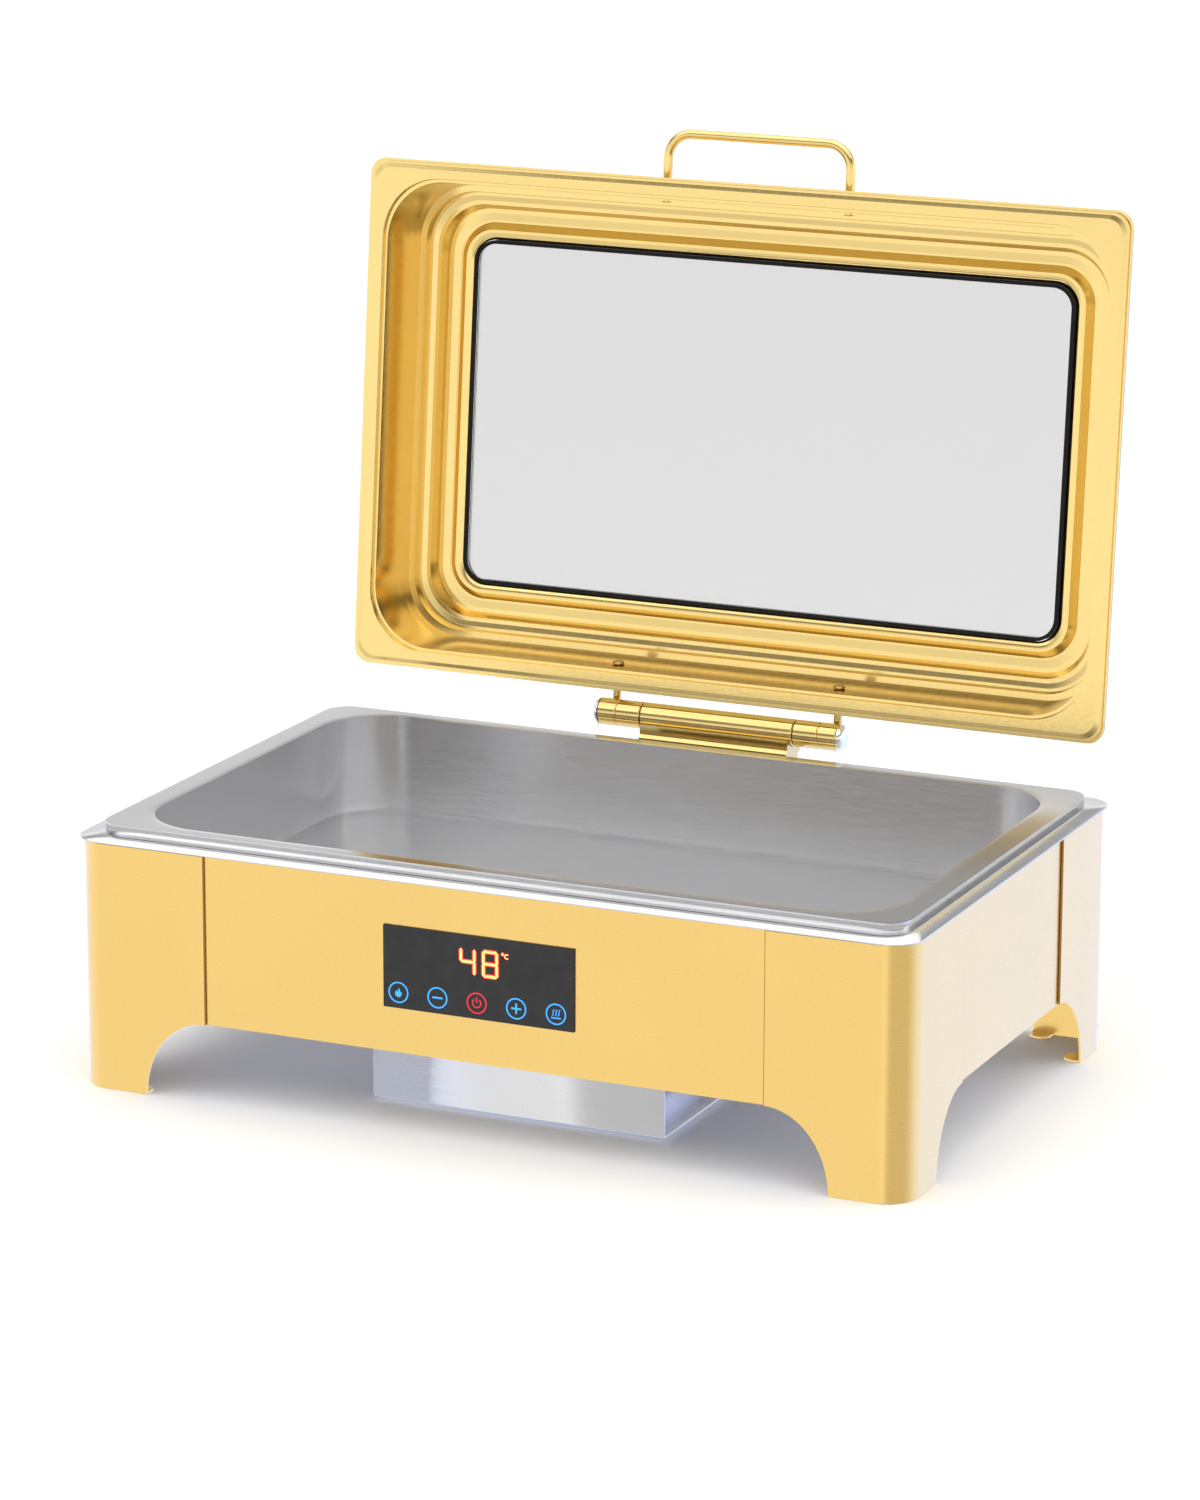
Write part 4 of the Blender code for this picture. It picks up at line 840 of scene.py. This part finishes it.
def add_flame(bm, centre, size, lift):
    """A small filled flame with two tongues."""
    shape = [
        (-0.10, -0.95), (0.30, -0.90), (0.62, -0.62), (0.72, -0.20), (0.60, 0.22), (0.42, 0.02),
        (0.36, 0.40), (0.14, 0.95), (-0.10, 0.30), (-0.26, 0.06), (-0.34, 0.52), (-0.62, 0.10),
        (-0.72, -0.30), (-0.56, -0.72),
    ]
    add_outline(bm, [(centre[0] + x * size, centre[1] + z * size) for x, z in shape], lift)


def key_centre(number):
    return (KEY_MIDDLE + KEY_PITCH * number, KEY_HEIGHT)


def make_key_print():
    lift = 0.00012
    blue = bmesh.new()
    for number in (-2, -1, 1, 2):
        add_arc(blue, key_centre(number), KEY_RADIUS, 0, 360, LINE, lift)
    add_flame(blue, key_centre(-2), 0.0031, lift)
    bar = 0.0030
    x, z = key_centre(-1)
    add_bar(blue, (x - bar, z), (x + bar, z), LINE * 1.3, lift)
    x, z = key_centre(1)
    add_bar(blue, (x - bar, z), (x + bar, z), LINE * 1.3, lift)
    add_bar(blue, (x, z - bar), (x, z + bar), LINE * 1.3, lift * 1.05)
    x, z = key_centre(2)
    add_bar(blue, (x - bar, z - 0.0024), (x + bar, z - 0.0024), LINE * 0.9, lift)
    for dx in (-0.0019, 0.0, 0.0019):
        wisp = [(x + dx - 0.0005, z - 0.0010), (x + dx + 0.0003, z + 0.0004)]
        wisp += [(x + dx - 0.0001, z + 0.0014), (x + dx + 0.0007, z + 0.0028)]
        add_path(blue, wisp, LINE * 0.7, lift)
    new_piece("key_print_blue", outward(blue), "blue_ink", "chafer")
    red = bmesh.new()
    x, z = key_centre(0)
    add_arc(red, (x, z), KEY_RADIUS, 0, 360, LINE, lift)
    add_arc(red, (x, z), 0.0027, 125, 415, LINE * 0.9, lift)
    add_bar(red, (x, z + 0.0004), (x, z + 0.0036), LINE * 0.9, lift * 1.05)
    new_piece("key_print_red", outward(red), "red_ink", "chafer")


SEGMENTS = {
    # two ends of each bar of a digit, in half widths and half heights
    "a": ((-1, 1), (1, 1)),
    "b": ((1, 1), (1, 0)),
    "c": ((1, 0), (1, -1)),
    "d": ((-1, -1), (1, -1)),
    "e": ((-1, 0), (-1, -1)),
    "f": ((-1, 1), (-1, 0)),
    "g": ((-1, 0), (1, 0)),
}
DIGITS = {"4": "bcfg", "8": "abcdefg"}


def add_digit(bm, digit, centre, half_width, half_height, width, lift):
    short = 0.0006
    for name in DIGITS[digit]:
        ends = []
        for ex, ez in SEGMENTS[name]:
            ends.append(Vector((centre[0] + ex * half_width, centre[1] + ez * half_height)))
        along = (ends[1] - ends[0]).normalized() * short
        add_bar(bm, ends[0] + along, ends[1] - along, width, lift)


def make_display():
    middle_z = KEYS_LOW.z + 0.0352
    half_width, half_height = 0.0044, 0.0076
    layers = (
        ("display_glow", "glow", 0.0030, 0.00010, 0.0011),
        ("display_digits", "digits", 0.0016, 0.00020, 0.0006),
    )
    for name, finish, width, lift, thin in layers:
        bm = bmesh.new()
        add_digit(bm, "4", (-0.0067, middle_z), half_width, half_height, width, lift)
        add_digit(bm, "8", (0.0081, middle_z), half_width, half_height, width, lift)
        unit_z = middle_z + half_height - 0.0012
        add_arc(bm, (0.0164, unit_z + 0.0010), 0.0007, 0, 360, thin * 0.7, lift, 16)
        add_arc(bm, (0.0191, unit_z - 0.0002), 0.0013, 50, 310, thin, lift, 16)
        new_piece(name, outward(bm), finish, "chafer")


# ---------------------------------------------------------------- finishes on CAD nodes
def dress_nodes():
    """Gives each CAD node that stays in view its procedural finish."""
    chosen = {
        "gold_satin": "gold_front",
        "gold_polished": "gold_bright",
        "steel": "steel_pan",
        "zinc_steel": "zinc",
        "glass": "glass",
        "black_rubber": "rubber",
        "black_glass": "keys",
        "black_plastic": "plastic",
        "circuit_board": "board",
        "led_display": "display",
        "aluminium": "aluminium",
        "ceramic_fibre": "fibre",
        "lead_jacket": "jacket",
    }
    for part in frame["record"]["subparts"]:
        node = frame["nodes"][part["node"]]
        for slot in node.material_slots:
            slot.material = FINISHES[chosen[part["material_slot"]]]


# ---------------------------------------------------------------- stage, light and camera
def make_floor():
    half = 40.0
    bm = bmesh.new()
    bmesh.ops.create_grid(bm, x_segments=1, y_segments=1, size=half)
    mesh = bpy.data.meshes.new("floor")
    bm.to_mesh(mesh)
    bm.free()
    floor = bpy.data.objects.new("floor", mesh)
    floor.location = (0, 0, -0.0002)
    bpy.context.scene.collection.objects.link(floor)
    paper = Finish("floor_paper", (0.90, 0.90, 0.90), 0.9)
    mesh.materials.append(paper.material)
    floor.visible_glossy = False


def fill_ramp(ramp, stops):
    """Gives a colour ramp its stops, each a position and a colour."""
    elements = ramp.color_ramp.elements
    while len(elements) < len(stops):
        elements.new(0.5)
    for element, (position, colour) in zip(elements, stops):
        element.position = position
        element.color = (*colour, 1.0)


def make_world():
    """Studio surround. Below the horizon it changes round the room, which shades the upright metal.

    The floor is hidden from reflections, so the metal shows this lower half instead of the floor.
    """
    world = bpy.data.worlds.new("studio")
    bpy.context.scene.world = world
    world.use_nodes = True
    nodes, links = world.node_tree.nodes, world.node_tree.links
    coordinates = nodes.new("ShaderNodeTexCoord")
    split = nodes.new("ShaderNodeSeparateXYZ")
    forward = nodes.new("ShaderNodeMath")
    forward.operation = "MULTIPLY"
    forward.inputs[1].default_value = -1.0
    azimuth = nodes.new("ShaderNodeMath")
    azimuth.operation = "ARCTAN2"
    turn = nodes.new("ShaderNodeMapRange")
    turn.inputs["From Min"].default_value = -math.pi
    turn.inputs["From Max"].default_value = math.pi
    low = nodes.new("ShaderNodeValToRGB")
    high = nodes.new("ShaderNodeValToRGB")
    horizon = nodes.new("ShaderNodeMapRange")
    horizon.inputs["From Min"].default_value = -0.17
    horizon.inputs["From Max"].default_value = -0.08
    mix = nodes.new("ShaderNodeMix")
    mix.data_type = "RGBA"
    low_input, high_input, mixed_output = mix.inputs[6], mix.inputs[7], mix.outputs[2]
    links.new(coordinates.outputs["Generated"], split.inputs["Vector"])
    links.new(split.outputs["Y"], forward.inputs[0])
    links.new(split.outputs["X"], azimuth.inputs[0])
    links.new(forward.outputs["Value"], azimuth.inputs[1])
    links.new(azimuth.outputs["Value"], turn.inputs["Value"])
    links.new(turn.outputs["Result"], low.inputs["Fac"])
    links.new(split.outputs["Z"], high.inputs["Fac"])
    links.new(split.outputs["Z"], horizon.inputs["Value"])
    links.new(horizon.outputs["Result"], mix.inputs["Factor"])
    links.new(low.outputs["Color"], low_input)
    links.new(high.outputs["Color"], high_input)
    cool, dim, white = (0.95, 1.13, 1.72), (0.66, 0.66, 0.66), (1.0, 1.0, 1.0)
    room = ((-180, cool), (-75, (1.05, 1.08, 1.2)), (-50, white), (0, white), (12, (1.15, 1.15, 1.15)))
    room += ((24, dim), (85, dim), (125, cool), (180, cool))
    fill_ramp(low, [((degrees + 180) / 360, colour) for degrees, colour in room])
    sky = ((0.0, 1.42), (0.10, 1.10), (0.24, 0.95), (0.33, 0.34), (0.46, 0.30), (0.58, 1.35), (1.0, 1.75))
    fill_ramp(high, [(height, (level, level, level)) for height, level in sky])
    links.new(mixed_output, nodes["Background"].inputs["Color"])


def add_area(name, location, target, size, power):
    light = bpy.data.lights.new(name, "AREA")
    light.shape = "RECTANGLE"
    light.size, light.size_y = size
    light.energy = power
    lamp = bpy.data.objects.new(name, light)
    lamp.location = location
    direction = Vector(target) - Vector(location)
    lamp.rotation_euler = direction.to_track_quat("-Z", "Y").to_euler()
    bpy.context.scene.collection.objects.link(lamp)


def make_lights():
    centre = (0, 0, 0.2)
    add_area("softbox_left", (-1.9, -1.6, 1.9), centre, (1.4, 1.4), 5)
    add_area("softbox_right", (2.4, 0.9, 1.3), centre, (1.2, 1.6), 6)
    add_area("softbox_top", (0.2, -0.3, 2.6), centre, (2.0, 2.0), 6)


# the camera stands to the front right of the body and looks a little down on it
CAMERA_X, CAMERA_BACK, CAMERA_HEIGHT = 1.3651, 3.0218, 1.0760
CAMERA_AZIMUTH, CAMERA_ELEVATION, CAMERA_ROLL = 24.305, 14.756, 0.162
CAMERA_LENS = 133.1


def make_camera():
    camera = bpy.data.cameras.new("camera")
    camera.lens = CAMERA_LENS
    camera.sensor_width = 36.0
    camera.clip_end = 200.0
    item = bpy.data.objects.new("camera", camera)
    azimuth, elevation = math.radians(CAMERA_AZIMUTH), math.radians(CAMERA_ELEVATION)
    back = Vector(
        (
            math.sin(azimuth) * math.cos(elevation),
            -math.cos(azimuth) * math.cos(elevation),
            math.sin(elevation),
        )
    )
    rotation = back.to_track_quat("Z", "Y").to_matrix().to_4x4()
    item.matrix_world = rotation
    item.rotation_mode = "XYZ"
    item.rotation_euler = rotation.to_euler()
    item.rotation_euler.rotate_axis("Z", math.radians(CAMERA_ROLL))
    item.location = (CAMERA_X, BODY_Y - CAMERA_BACK, CAMERA_HEIGHT)
    bpy.context.scene.collection.objects.link(item)
    bpy.context.scene.camera = item


bpy.context.scene.view_settings.view_transform = "Standard"
FINISHES = make_finishes()
make_camera()
make_world()
make_lights()
make_floor()
dress_nodes()
make_legs()
make_seam_shade_strips()
make_under_cover()
make_water_pan()
make_food_pan()
make_lid()
make_lid_glazing()
make_handle()
make_lid_screws()
make_hinge()
make_key_print()
make_display()

bpy.context.view_layer.update()
